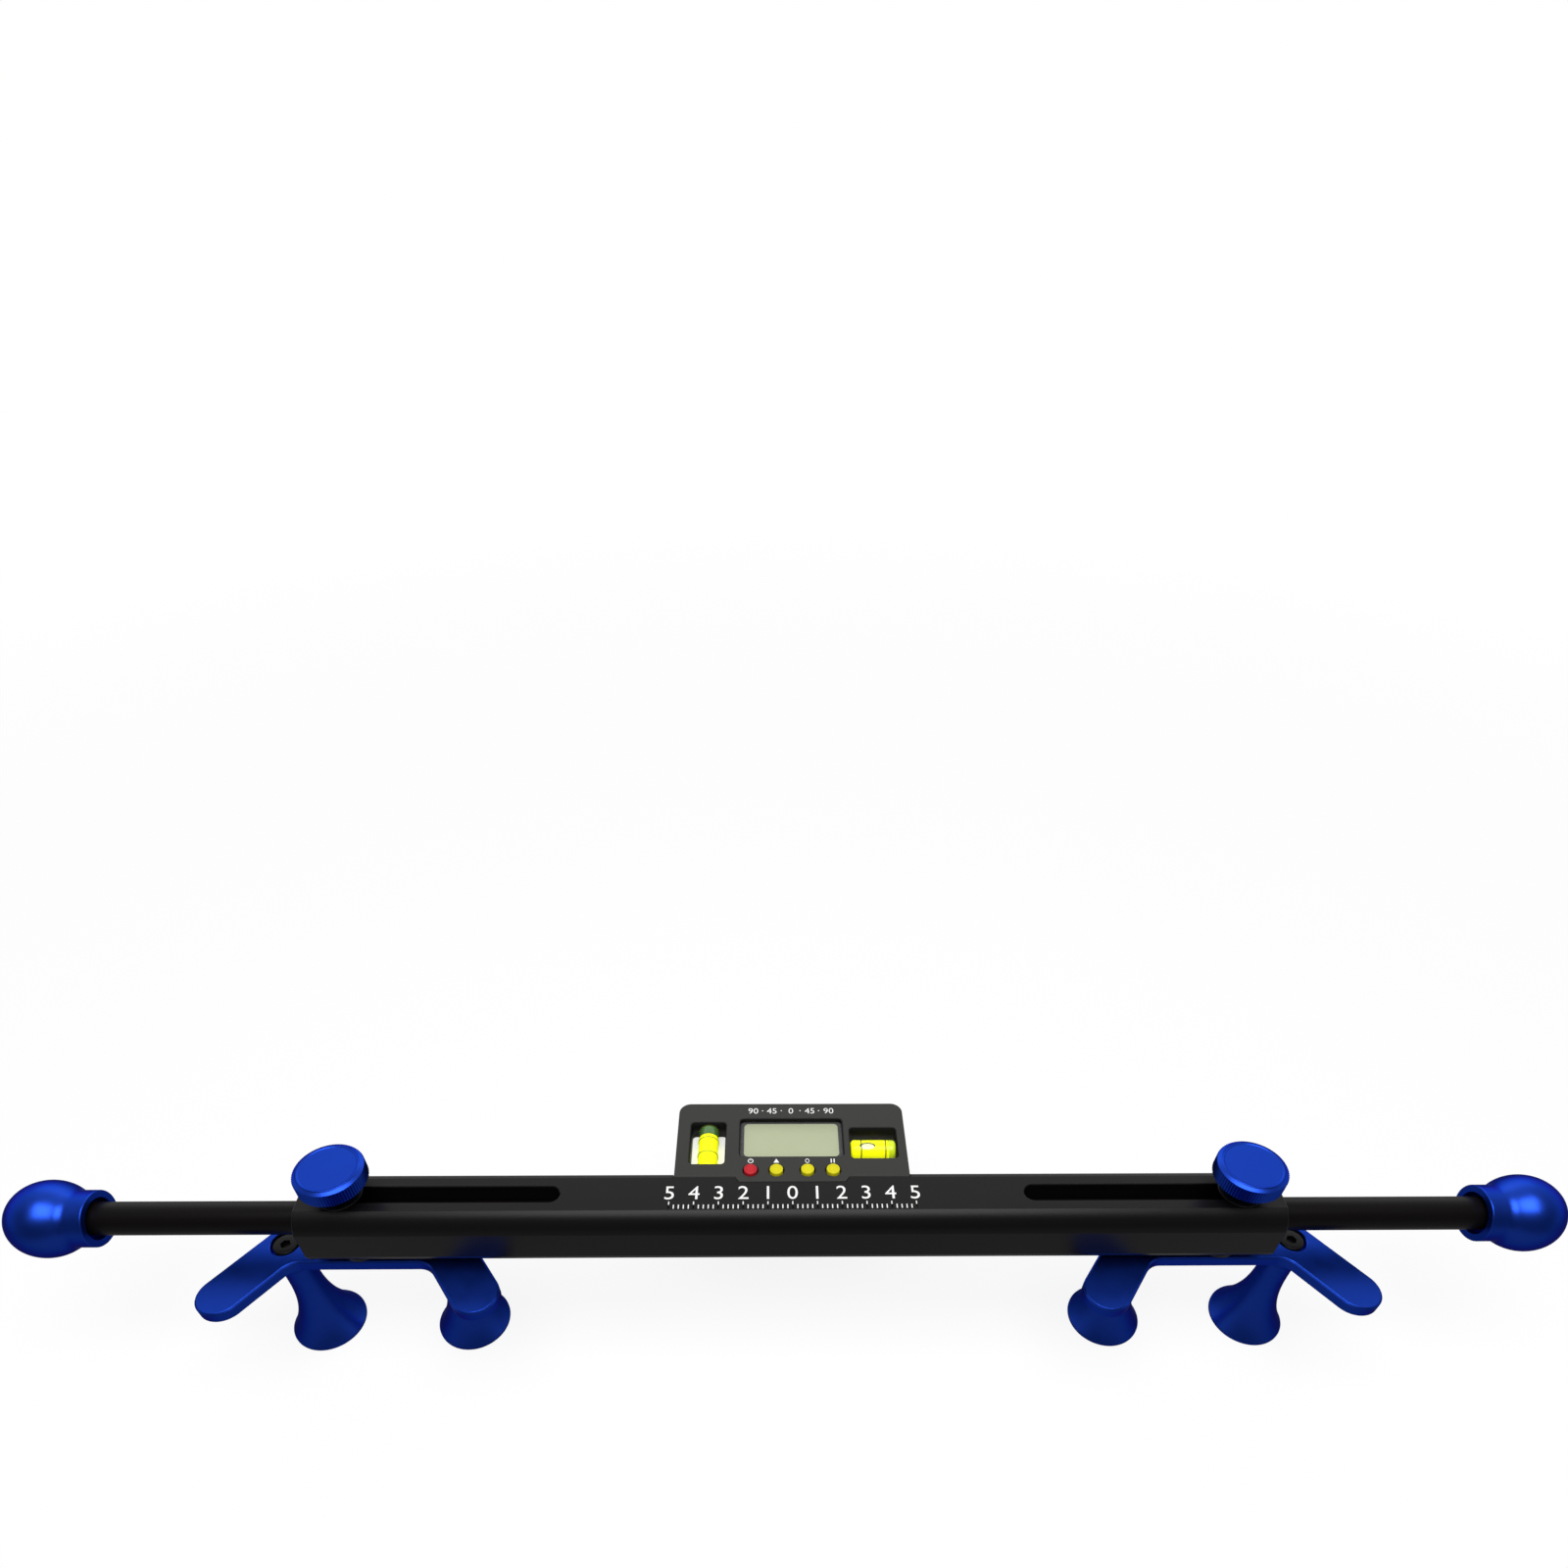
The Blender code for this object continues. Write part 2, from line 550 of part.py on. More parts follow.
def build_front_case(root):
    """Build the level's front shell with its windows, button holes, screw bosses and tab."""
    case = add_piece("level_front_case", case_solid(0.0, CASE_PARTING_DEPTH), "grey_plastic", parent=root)
    cavity = case_solid(CASE_FRONT_WALL, CASE_PARTING_DEPTH + CUT_OVERRUN, CASE_WALL)
    apply_boolean(case, add_cutter("front_cavity_cutter", cavity, parent=root))
    tab = prism(tab_outline(), SHELL_INSIDE_Z, RAIL_FRONT_Z)
    apply_boolean(case, add_cutter("tab_joiner", tab, parent=root), 'UNION')

    bosses = [moved(rod_solid(CASE_BOSS_DIAMETER / 2, PARTING_Z, SHELL_INSIDE_Z + CASE_FRONT_WALL / 2,
                              SMALL_STEPS), (x, y, 0)) for _, x, y in case_screw_places()]
    apply_boolean(case, add_cutter("front_boss_joiner", merged(bosses), parent=root), 'UNION')
    bores = [moved(rod_solid(CASE_SCREW_DIAMETER / 2 + SEAT_GAP, PARTING_Z - CUT_OVERRUN, SHELL_INSIDE_Z,
                             SMALL_STEPS), (x, y, 0)) for _, x, y in case_screw_places()]
    apply_boolean(case, add_cutter("front_screw_cutter", merged(bores), parent=root))

    windows = [
        window_prism(0.0, DISPLAY_OPENING_RISE, DISPLAY_OPENING_WIDTH, DISPLAY_OPENING_HEIGHT,
                     DISPLAY_OPENING_RADIUS),
        window_prism(UPRIGHT_WINDOW_X, UPRIGHT_WINDOW_RISE, UPRIGHT_WINDOW_WIDTH, UPRIGHT_WINDOW_HEIGHT,
                     WINDOW_RADIUS),
        window_prism(LEVEL_WINDOW_X, LEVEL_WINDOW_RISE, LEVEL_WINDOW_WIDTH, LEVEL_WINDOW_HEIGHT,
                     WINDOW_RADIUS),
    ]
    apply_boolean(case, add_cutter("window_cutter", merged(windows), parent=root))
    hole_radius = BUTTON_DIAMETER / 2 + BUTTON_HOLE_CLEARANCE
    holes = [moved(rod_solid(hole_radius, BUTTON_FOOT_Z - CUT_OVERRUN, RAIL_FRONT_Z + CUT_OVERRUN,
                             SMALL_STEPS), (x, BUTTON_Y, 0)) for _, x in button_places()]
    apply_boolean(case, add_cutter("button_hole_cutter", merged(holes), parent=root))


def vial_seats():
    """Return the two blocks inside the rear shell that carry the vials' backings."""
    seats = []
    top = BACKING_Z - SEAT_GAP
    floor = CASE_BACK_Z + CASE_BACK_WALL / 2
    for middle, rise, width, height in vial_windows():
        centre = CASE_BOTTOM_Y + rise
        seats.append(box_solid((middle - width / 4, centre - height / 4, floor),
                               (middle + width / 4, centre + height / 4, top)))
    return seats


def vial_windows():
    """Return the middle, rise, width and height of the two vial windows."""
    return ((UPRIGHT_WINDOW_X, UPRIGHT_WINDOW_RISE, UPRIGHT_WINDOW_WIDTH, UPRIGHT_WINDOW_HEIGHT),
            (LEVEL_WINDOW_X, LEVEL_WINDOW_RISE, LEVEL_WINDOW_WIDTH, LEVEL_WINDOW_HEIGHT))


def build_rear_case(root):
    """Build the level's rear shell with its bosses, screw holes, cover groove and battery bay."""
    near = CASE_PARTING_DEPTH + SEAT_GAP
    case = add_piece("level_rear_case", case_solid(near, CASE_DEPTH), "grey_plastic", parent=root)
    cavity = case_solid(near - CUT_OVERRUN, CASE_DEPTH - CASE_BACK_WALL, CASE_WALL)
    apply_boolean(case, add_cutter("rear_cavity_cutter", cavity, parent=root))

    top = PARTING_Z - SEAT_GAP
    floor = CASE_BACK_Z + CASE_BACK_WALL / 2
    joins = [moved(rod_solid(CASE_BOSS_DIAMETER / 2, floor, top, SMALL_STEPS), (x, y, 0))
             for _, x, y in case_screw_places()]
    joins += [moved(rod_solid(MOUNT_BOSS_DIAMETER / 2, floor, mount_boss_top(), SMALL_STEPS), (x, y, 0))
              for _, x, y in mount_screw_places()]
    apply_boolean(case, add_cutter("rear_boss_joiner", merged(joins), parent=root), 'UNION')
    apply_boolean(case, add_cutter("vial_seat_joiner", merged(vial_seats()), parent=root), 'UNION')

    bores = [moved(stepped_solid(CASE_SCREW_HEAD_DIAMETER / 2 + SEAT_GAP, CASE_SCREW_DIAMETER / 2 + SEAT_GAP,
                                 CASE_BACK_Z - CUT_OVERRUN, CASE_BACK_Z + CASE_SCREW_HEAD_HEIGHT + SEAT_GAP,
                                 top + CUT_OVERRUN), (x, y, 0)) for _, x, y in case_screw_places()]
    bores += [moved(rod_solid(MOUNT_SCREW_DIAMETER / 2 + SEAT_GAP, CASE_BACK_Z - CUT_OVERRUN,
                              CASE_BACK_Z + MOUNT_SCREW_BITE + SEAT_GAP, SMALL_STEPS), (x, y, 0))
              for _, x, y in mount_screw_places()]
    apply_boolean(case, add_cutter("rear_screw_cutter", merged(bores), parent=root))

    low = CASE_BOTTOM_Y + COVER_BOTTOM_RISE - SEAT_GAP
    high = CASE_BACK_TOP_Y + CUT_OVERRUN
    groove = prism_along_y(cover_profile(SEAT_GAP, CUT_OVERRUN), low, high)
    apply_boolean(case, add_cutter("cover_groove_cutter", groove, parent=root))
    bay_half = COVER_WIDTH / 2 - CASE_WALL
    centre = CASE_BOTTOM_Y + CELL_RISE
    bay = box_solid((-bay_half, centre - BAY_HEIGHT / 2, CASE_BACK_Z + COVER_PAD_THICKNESS),
                    (bay_half, centre + BAY_HEIGHT / 2, CASE_BACK_Z + CASE_BACK_WALL + CUT_OVERRUN))
    apply_boolean(case, add_cutter("battery_bay_cutter", bay, parent=root))


def mount_boss_top():
    """Return the height of the bosses that take the level's mounting screws."""
    return CASE_BACK_Z + MOUNT_SCREW_BITE + SEAT_GAP + CASE_WALL


def cover_profile(grow=0.0, overrun=0.0):
    """Return the cover's T section in X and Z, or its groove's when grown by a gap."""
    pad = COVER_WIDTH / 2 + grow
    tongue = COVER_TONGUE_WIDTH / 2 + grow
    outside = CASE_BACK_Z - overrun
    shoulder = CASE_BACK_Z + COVER_PAD_THICKNESS - grow
    inside = CASE_BACK_Z + COVER_PAD_THICKNESS + COVER_TONGUE_THICKNESS + grow
    return [(-pad, outside), (pad, outside), (pad, shoulder), (tongue, shoulder), (tongue, inside),
            (-tongue, inside), (-tongue, shoulder), (-pad, shoulder)]


def prism_along_y(profile, low, high):
    """Return a section in X and Z extruded along Y."""
    return loft([[(x, y, z) for x, z in profile] for y in (low, high)])


def build_battery(root):
    """Build the coin cell, its two contacts and the sliding cover."""
    centre = CASE_BOTTOM_Y + CELL_RISE
    cell = rod_solid(CELL_DIAMETER / 2, 0, CELL_THICKNESS, ROUND_STEPS)
    add_piece("coin_cell", cell, "steel", (0, centre, CELL_Z), root)

    half = CONTACT_WIDTH / 2
    board_side = BOARD_Z - SEAT_GAP
    lower = box_solid((-CONTACT_REACH, centre - half, board_side - CONTACT_THICKNESS),
                      (CONTACT_REACH, centre + half, board_side))
    edge = CELL_DIAMETER / 2 + SEAT_GAP
    foot = CELL_Z - SEAT_GAP - CONTACT_THICKNESS
    clip = [(edge, board_side), (edge + CONTACT_THICKNESS, board_side), (edge + CONTACT_THICKNESS, foot),
            (edge - CONTACT_REACH, foot), (edge - CONTACT_REACH, foot + CONTACT_THICKNESS),
            (edge, foot + CONTACT_THICKNESS)]
    upper = prism_along_y(clip, centre - half, centre + half)
    add_piece("battery_base_contact", lower, "steel", parent=root)
    add_piece("battery_clip_contact", upper, "steel", parent=root)

    carrier = add_empty("cover_joint", (0, CASE_BOTTOM_Y + COVER_BOTTOM_RISE, CASE_BACK_Z), root)
    length = CASE_BACK_HEIGHT - COVER_BOTTOM_RISE
    profile = [(x, z - CASE_BACK_Z) for x, z in cover_profile()]
    add_piece("battery_cover", prism_along_y(profile, 0, length), "grey_plastic", parent=carrier)


def build_display(root):
    """Build the clear window, the liquid crystal panel, the circuit board and its switches."""
    middle = CASE_BOTTOM_Y + DISPLAY_OPENING_RISE
    width = DISPLAY_OPENING_WIDTH + 2 * DISPLAY_WINDOW_MARGIN
    height = DISPLAY_OPENING_HEIGHT + 2 * DISPLAY_WINDOW_MARGIN
    window = box_solid((-width / 2, middle - height / 2, DISPLAY_WINDOW_Z),
                       (width / 2, middle + height / 2, DISPLAY_WINDOW_Z + DISPLAY_WINDOW_THICKNESS))
    add_piece("display_window", window, "clear_plastic", parent=root)
    panel = box_solid((-LCD_WIDTH / 2, middle - LCD_HEIGHT / 2, LCD_Z),
                      (LCD_WIDTH / 2, middle + LCD_HEIGHT / 2, LCD_Z + LCD_THICKNESS))
    add_piece("lcd_panel", panel, "lcd_glass", parent=root)
    low = CASE_BOTTOM_Y + BOARD_BOTTOM_RISE
    board = box_solid((-TAB_WIDTH / 2, low, BOARD_Z),
                      (TAB_WIDTH / 2, low + BOARD_HEIGHT, BOARD_Z + BOARD_THICKNESS))
    add_piece("circuit_board", board, "board_green", parent=root)

    half = SWITCH_WIDTH / 2
    foot = BOARD_Z + BOARD_THICKNESS + SEAT_GAP
    top = BUTTON_FOOT_Z - BUTTON_TRAVEL - SEAT_GAP / 2
    switch_y = low + half
    for name, x in button_places():
        switch = box_solid((x - half, switch_y - half, foot), (x + half, switch_y + half, top))
        add_piece(name.replace("button", "switch"), switch, "steel", parent=root)


def build_buttons(root):
    """Build the four buttons, each a domed cap with a retaining lug behind the front wall."""
    radius = BUTTON_DIAMETER / 2
    crown = BUTTON_STAND - BUTTON_DOME
    foot = BUTTON_FOOT_Z - RAIL_FRONT_Z
    for name, x in button_places():
        colour = "red_button" if name == "power_button" else "yellow_button"
        carrier = add_empty(f"{name}_joint", (x, BUTTON_Y, RAIL_FRONT_Z), root)
        cap = turned([(0, foot), (radius, foot), (radius, crown), (radius - BUTTON_DOME, BUTTON_STAND),
                      (0, BUTTON_STAND)], SMALL_STEPS)
        button = add_piece(name, cap, colour, parent=carrier)
        lug_low = BUTTON_LUG_Z - RAIL_FRONT_Z
        lug = box_solid((-BUTTON_LUG_WIDTH / 2, 0, lug_low),
                        (BUTTON_LUG_WIDTH / 2, BUTTON_LUG_REACH, lug_low + BUTTON_LUG_THICKNESS))
        apply_boolean(button, add_cutter(f"{name}_lug_joiner", lug, parent=carrier), 'UNION')


def build_vial(root, name, window, turn):
    """Build one vial: clear tube, end plug, liquid and white backing, lying along the window's long side."""
    middle, rise, width, height = window
    centre = CASE_BOTTOM_Y + rise
    place = (middle, centre, VIAL_Z)
    half = max(width, height) / 2 - VIAL_END_GAP
    outer = VIAL_DIAMETER / 2
    inner = outer - VIAL_WALL
    plug_low = half - VIAL_PLUG_LENGTH
    shell = [(0, -half), (outer, -half), (outer, half), (inner, half), (inner, -half + VIAL_WALL),
             (0, -half + VIAL_WALL)]
    add_piece(f"{name}_vial_tube", turn(turned(shell, SMALL_STEPS)), "clear_plastic", place, root)
    stopper = turn(rod_solid(inner - SEAT_GAP, plug_low, half, SMALL_STEPS))
    add_piece(f"{name}_vial_plug", stopper, "vial_liquid", place, root)
    liquid = turn(rod_solid(inner - SEAT_GAP, -half + VIAL_WALL + SEAT_GAP, plug_low - SEAT_GAP, SMALL_STEPS))
    add_piece(f"{name}_vial_liquid", liquid, "vial_liquid", place, root)
    backing = box_solid((middle - width / 2, centre - height / 2, BACKING_Z),
                        (middle + width / 2, centre + height / 2, BACKING_Z + VIAL_BACKING_THICKNESS))
    add_piece(f"{name}_vial_backing", backing, "white_plastic", parent=root)


def build_level_screws(root):
    """Build the four case screws and the two screws that hold the level to the rail."""
    seat = CASE_BACK_Z + CASE_SCREW_HEAD_HEIGHT
    for name, x, y in case_screw_places():
        screw = pan_screw(CASE_SCREW_DIAMETER / 2, CASE_SCREW_HEAD_DIAMETER / 2, CASE_SCREW_HEAD_HEIGHT,
                          CASE_SCREW_LENGTH)
        add_piece(name, screw, "black_steel", (x, y, seat), root)
    seat = mount_head_z() - SEAT_GAP
    length = CASE_BACK_Z + MOUNT_SCREW_BITE - seat
    for name, x, y in mount_screw_places():
        screw = pan_screw(MOUNT_SCREW_DIAMETER / 2, MOUNT_SCREW_HEAD_DIAMETER / 2, MOUNT_SCREW_HEAD_HEIGHT,
                          length)
        add_piece(name, screw, "black_steel", (x, y, seat), root)


def handle_profile():
    """Return the ball handle's turned outline, from its bored collar face to its flattened end."""
    socket = ROD_DIAMETER / 2 + SEAT_GAP
    recess = HANDLE_RECESS_DIAMETER / 2
    collar = HANDLE_COLLAR_DIAMETER / 2
    waist = HANDLE_WAIST_DIAMETER / 2
    ball = HANDLE_BALL_DIAMETER / 2
    points = [(0, HANDLE_SOCKET_DEPTH), (socket, HANDLE_SOCKET_DEPTH),
              (socket, HANDLE_RECESS_DEPTH), (recess, HANDLE_RECESS_DEPTH), (recess, 0),
              (collar - HANDLE_COLLAR_CHAMFER, 0), (collar, HANDLE_COLLAR_CHAMFER),
              (collar, HANDLE_COLLAR_LENGTH), (waist, HANDLE_COLLAR_LENGTH + collar - waist),
              (waist, HANDLE_COLLAR_LENGTH + HANDLE_WAIST_LENGTH)]
    first = math.acos(waist / ball)
    last = math.acos(HANDLE_END_FLAT_DIAMETER / 2 / ball)
    for step in range(BALL_STEPS + 1):
        angle = -first + (first + last) * step / BALL_STEPS
        points.append((ball * math.cos(angle), HANDLE_BALL_CENTRE + ball * math.sin(angle)))
    points.append((0, points[-1][1]))
    return points


def build_rod_and_handle(side_name, side, carrier):
    """Build one telescoping rod, cross-drilled for the stud, and the ball handle on its outer end."""
    outer = HANDLE_FACE_X + HANDLE_SOCKET_DEPTH - SEAT_GAP
    radius = ROD_DIAMETER / 2
    profile = [(0, ROD_INNER_X), (radius - ROD_CHAMFER, ROD_INNER_X), (radius, ROD_INNER_X + ROD_CHAMFER),
               (radius, outer), (0, outer)]
    bar = moved(along_x(turned([(r, x - KNOB_X) for r, x in profile])), (0, 0, ROD_Z))
    grip = moved(along_x(turned([(r, x + HANDLE_FACE_X - KNOB_X) for r, x in handle_profile()])), (0, 0, ROD_Z))
    if side < 0:
        for solid in (bar, grip):
            bmesh.ops.rotate(solid, verts=solid.verts, cent=(0, 0, 0), matrix=Matrix.Rotation(math.pi, 3, 'Z'))
    rod = add_piece(f"{side_name}_rod", bar, "black_anodised", parent=carrier)
    add_piece(f"{side_name}_ball_handle", grip, "blue_anodised", parent=carrier)
    hole = rod_solid(STUD_DIAMETER / 2 + RUN_CLEARANCE, ROD_Z - ROD_DIAMETER, ROD_Z + ROD_DIAMETER, SMALL_STEPS)
    apply_boolean(rod, add_cutter(f"{side_name}_cross_hole_cutter", hole, parent=carrier))


def knurled_ring(radius, height):
    """Return a ring of points that steps in and out, tooth by tooth."""
    points = []
    for step in range(2 * KNOB_KNURL_TEETH):
        angle = math.tau * step / (2 * KNOB_KNURL_TEETH)
        reach = radius - KNOB_KNURL_DEPTH * (step % 2)
        points.append((reach * math.cos(angle), reach * math.sin(angle), height))
    return points


def plain_ring(radius, height):
    """Return a round ring with as many points as a knurled one."""
    angles = [math.tau * step / (2 * KNOB_KNURL_TEETH) for step in range(2 * KNOB_KNURL_TEETH)]
    return [(radius * math.cos(angle), radius * math.sin(angle), height) for angle in angles]


def build_knob(side_name, carrier):
    """Build one clamping knob with its threaded stud, and the washer it rides on."""
    neck = KNOB_NECK_DIAMETER / 2
    rim = KNOB_DIAMETER / 2
    shoulder = KNOB_NECK_HEIGHT
    inner_rim = rim - KNOB_KNURL_DEPTH
    rings = [plain_ring(neck, 0), plain_ring(neck, shoulder), plain_ring(inner_rim - KNOB_KNURL_DEPTH, shoulder),
             knurled_ring(rim, shoulder + KNOB_KNURL_DEPTH),
             knurled_ring(rim, KNOB_HEIGHT - KNOB_FACE_BEVEL),
             plain_ring(rim - KNOB_FACE_BEVEL, KNOB_HEIGHT)]
    turner = add_empty(f"{side_name}_knob_joint", (0, 0, KNOB_BOTTOM_Z), carrier)
    knob = add_piece(f"{side_name}_knob", loft(rings), "blue_anodised", parent=turner)
    head = KNOB_BOTTOM_Z + STUD_HEAD_DEPTH
    socket = rod_solid(STUD_DIAMETER / 2 + SEAT_GAP, -CUT_OVERRUN, STUD_HEAD_DEPTH + SEAT_GAP, SMALL_STEPS)
    apply_boolean(knob, add_cutter(f"{side_name}_knob_socket_cutter", socket, parent=turner))

    radius = STUD_DIAMETER / 2
    foot = PLATE_BACK_Z + PLATE_CHAMFER
    profile = [(0, foot), (radius - STUD_CHAMFER, foot), (radius, foot + STUD_CHAMFER), (radius, head), (0, head)]
    stud = turned([(r, z - KNOB_BOTTOM_Z) for r, z in profile], SMALL_STEPS)
    add_piece(f"{side_name}_knob_stud", stud, "steel", parent=turner)
    washer = tube_solid(WASHER_DIAMETER / 2, radius + RUN_CLEARANCE, 0, WASHER_THICKNESS)
    add_piece(f"{side_name}_knob_washer", washer, "black_steel", (0, 0, WASHER_BOTTOM_Z), carrier)


def plate_outline():
    """Return the C-shaped plate's outline: a spine with two arms splayed towards minus Y."""
    half = PLATE_WIDTH / 2
    along = Vector((PLATE_ARM_RUN, -PLATE_ARM_DROP)).normalized()
    outward = Vector((-along.y, along.x))
    bend = Vector((PLATE_BEND_X, 0))
    tip = bend + Vector((PLATE_ARM_RUN, -PLATE_ARM_DROP)) + along * half
    outer_edge = bend + outward * half
    inner_edge = bend - outward * half
    outer_corner = outer_edge + along * (half - outer_edge.y) / along.y
    inner_corner = inner_edge + along * (-half - inner_edge.y) / along.y
    right = [outer_corner, tip + outward * half, tip - outward * half, inner_corner]
    left = [Vector((-point.x, point.y)) for point in reversed(right)]
    radii = [half, half, half, PLATE_INNER_FILLET]
    return rounded_outline(right + left, radii + radii[::-1], PLATE_ARC_STEPS)


def without_repeats(outline):
    """Return an outline with points that coincide left out."""
    kept = []
    for point in outline:
        if not kept or (point - kept[-1]).length > SEAT_GAP / 10:
            kept.append(point)
    return kept


def build_plate(side_name, carrier):
    """Build one bracket plate with chamfered rims, counterbored screw holes and its threaded middle hole."""
    plate = add_piece(f"{side_name}_bracket_plate", prism(without_repeats(plate_outline()), 0, PLATE_THICKNESS),
                      "blue_anodised", (0, 0, PLATE_BACK_Z), carrier)
    edge = plate.modifiers.new("edge_chamfer", 'BEVEL')
    edge.width = PLATE_CHAMFER
    edge.segments = 1
    edge.limit_method = 'ANGLE'
    edge.angle_limit = math.radians(60)
    past = PLATE_THICKNESS + CUT_OVERRUN
    drills = [rod_solid(STUD_DIAMETER / 2 + RUN_CLEARANCE, -CUT_OVERRUN, past, SMALL_STEPS)]
    sinks = []
    for x in (-PLATE_BEND_X, PLATE_BEND_X):
        drills.append(moved(rod_solid(POST_SCREW_DIAMETER / 2 + SEAT_GAP, -CUT_OVERRUN, past, SMALL_STEPS),
                            (x, 0, 0)))
        sinks.append(moved(rod_solid(COUNTERBORE_DIAMETER / 2, PLATE_THICKNESS - COUNTERBORE_DEPTH, past),
                           (x, 0, 0)))
    place = (0, 0, PLATE_BACK_Z)
    apply_boolean(plate, add_cutter(f"{side_name}_plate_drill", merged(drills), place, carrier))
    apply_boolean(plate, add_cutter(f"{side_name}_plate_sink", merged(sinks), place, carrier))


def post_profile():
    """Return the post's turned outline: flat mouth, flare, slim neck, collar and a blind screw hole."""
    mouth = POST_MOUTH_DIAMETER / 2
    neck = POST_NECK_DIAMETER / 2
    collar = POST_COLLAR_DIAMETER / 2
    hole = POST_SCREW_DIAMETER / 2 + SEAT_GAP
    points = [(0, 0), (mouth - POST_LIP_CHAMFER, 0), (mouth, POST_LIP_CHAMFER), (mouth, POST_LIP_HEIGHT)]
    for step in range(1, POST_FLARE_STEPS + 1):
        share = (step / POST_FLARE_STEPS) ** POST_FLARE_PACING
        height = POST_LIP_HEIGHT + (POST_FLARE_HEIGHT - POST_LIP_HEIGHT) * share
        spread = (1 - share) ** POST_FLARE_POWER
        points.append((neck + (mouth - neck) * spread, height))
    collar_low = POST_LENGTH - POST_COLLAR_HEIGHT
    points += [(neck, collar_low - (collar - neck)), (collar, collar_low), (collar, POST_LENGTH),
               (hole, POST_LENGTH), (hole, POST_LENGTH - POST_SCREW_DEPTH - SEAT_GAP),
               (0, POST_LENGTH - POST_SCREW_DEPTH - SEAT_GAP)]
    return points


def post_screw():
    """Return one socket-head screw about Z, its head's seat at zero, with a hexagonal socket."""
    shank = POST_SCREW_DIAMETER / 2
    head = POST_SCREW_HEAD_DIAMETER / 2
    socket = POST_SCREW_SOCKET_WIDTH / math.sqrt(3)
    through = PLATE_THICKNESS - COUNTERBORE_DEPTH + POST_SCREW_DEPTH
    top = POST_SCREW_HEAD_HEIGHT
    count = SMALL_STEPS
    solid = bmesh.new()

    def ring(radius, height, hexagon=False):
        points = []
        for step in range(count):
            angle = math.tau * step / count
            reach = radius
            if hexagon:
                reach = radius * math.cos(math.pi / 6) / math.cos((angle % (math.pi / 3)) - math.pi / 6)
            points.append(solid.verts.new((reach * math.cos(angle), reach * math.sin(angle), height)))
        return points

    rows = [ring(shank, -through), ring(shank, 0), ring(head, 0), ring(head, top), ring(socket, top, True),
            ring(socket, top - POST_SCREW_SOCKET_DEPTH, True)]
    for row, following in zip(rows, rows[1:]):
        for index in range(count):
            after = (index + 1) % count
            solid.faces.new((row[index], row[after], following[after], following[index]))
    solid.faces.new(rows[0])
    solid.faces.new(rows[-1])
    return solid


def build_bracket(side_name, side, carrier):
    """Build one swivelling bracket: plate, hub, two posts and their screws."""
    swivel = add_empty(f"{side_name}_bracket_joint", (0, 0, 0), carrier)
    build_plate(side_name, swivel)
    hub = tube_solid(HUB_DIAMETER / 2, STUD_DIAMETER / 2 + RUN_CLEARANCE, 0, HUB_HEIGHT)
    add_piece(f"{side_name}_bracket_hub", hub, "black_anodised", (0, 0, HUB_BOTTOM_Z), swivel)
    seat = PLATE_FRONT_Z - COUNTERBORE_DEPTH + SEAT_GAP
    for place_name, direction in (("outer", side), ("inner", -side)):
        x = direction * PLATE_BEND_X
        add_piece(f"{side_name}_{place_name}_post", turned(post_profile()), "blue_anodised", (x, 0, 0), swivel)
        add_piece(f"{side_name}_{place_name}_post_screw", post_screw(), "black_steel", (x, 0, seat), swivel)


def build_side(side_name, side, root):
    """Build everything that slides at one end of the rail."""
    carrier = add_empty(f"{side_name}_slide_joint", (side * KNOB_X, 0, 0), root)
    build_rod_and_handle(side_name, side, carrier)
    build_knob(side_name, carrier)
    build_bracket(side_name, side, carrier)


def main():
    """Build the whole object."""
    clear_scene()
    root = add_empty("rail_frame", (0, RAIL_Y, 0))
    build_rail(root)
    build_front_case(root)
    build_rear_case(root)
    build_display(root)
    build_buttons(root)
    upright, level = vial_windows()
    build_vial(root, "upright", upright, along_y)
    build_vial(root, "level", level, along_x)
    build_battery(root)
    build_level_screws(root)
    for side_name, side in (("left", -1), ("right", 1)):
        build_side(side_name, side, root)


main()
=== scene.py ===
"""Looks of a steering wheel level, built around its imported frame.

X runs along the rail, Y points from the rail towards the digital level and Z is up, out of the rail's front.
Sizes are in metres, and every piece takes its place from the frame's own boxes.
"""
import logging
import math
from collections.abc import Iterable, Sequence
from dataclasses import dataclass, field
from enum import Enum
from typing import ClassVar

import bmesh
import bpy
from mathutils import Matrix, Vector


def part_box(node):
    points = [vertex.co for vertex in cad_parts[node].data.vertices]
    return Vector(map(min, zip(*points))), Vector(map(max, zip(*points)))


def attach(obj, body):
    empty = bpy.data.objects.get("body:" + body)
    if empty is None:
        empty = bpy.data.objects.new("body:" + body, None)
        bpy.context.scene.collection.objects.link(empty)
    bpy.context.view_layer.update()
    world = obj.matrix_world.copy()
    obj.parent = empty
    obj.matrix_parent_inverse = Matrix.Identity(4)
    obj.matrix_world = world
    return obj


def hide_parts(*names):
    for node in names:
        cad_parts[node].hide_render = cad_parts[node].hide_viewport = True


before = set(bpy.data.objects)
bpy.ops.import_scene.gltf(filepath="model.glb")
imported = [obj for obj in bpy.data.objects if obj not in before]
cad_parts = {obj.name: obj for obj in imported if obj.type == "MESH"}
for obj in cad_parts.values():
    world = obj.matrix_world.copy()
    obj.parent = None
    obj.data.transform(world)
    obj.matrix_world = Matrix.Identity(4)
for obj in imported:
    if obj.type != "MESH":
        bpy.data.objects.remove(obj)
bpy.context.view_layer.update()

LOG = logging.getLogger("steering_wheel_level")

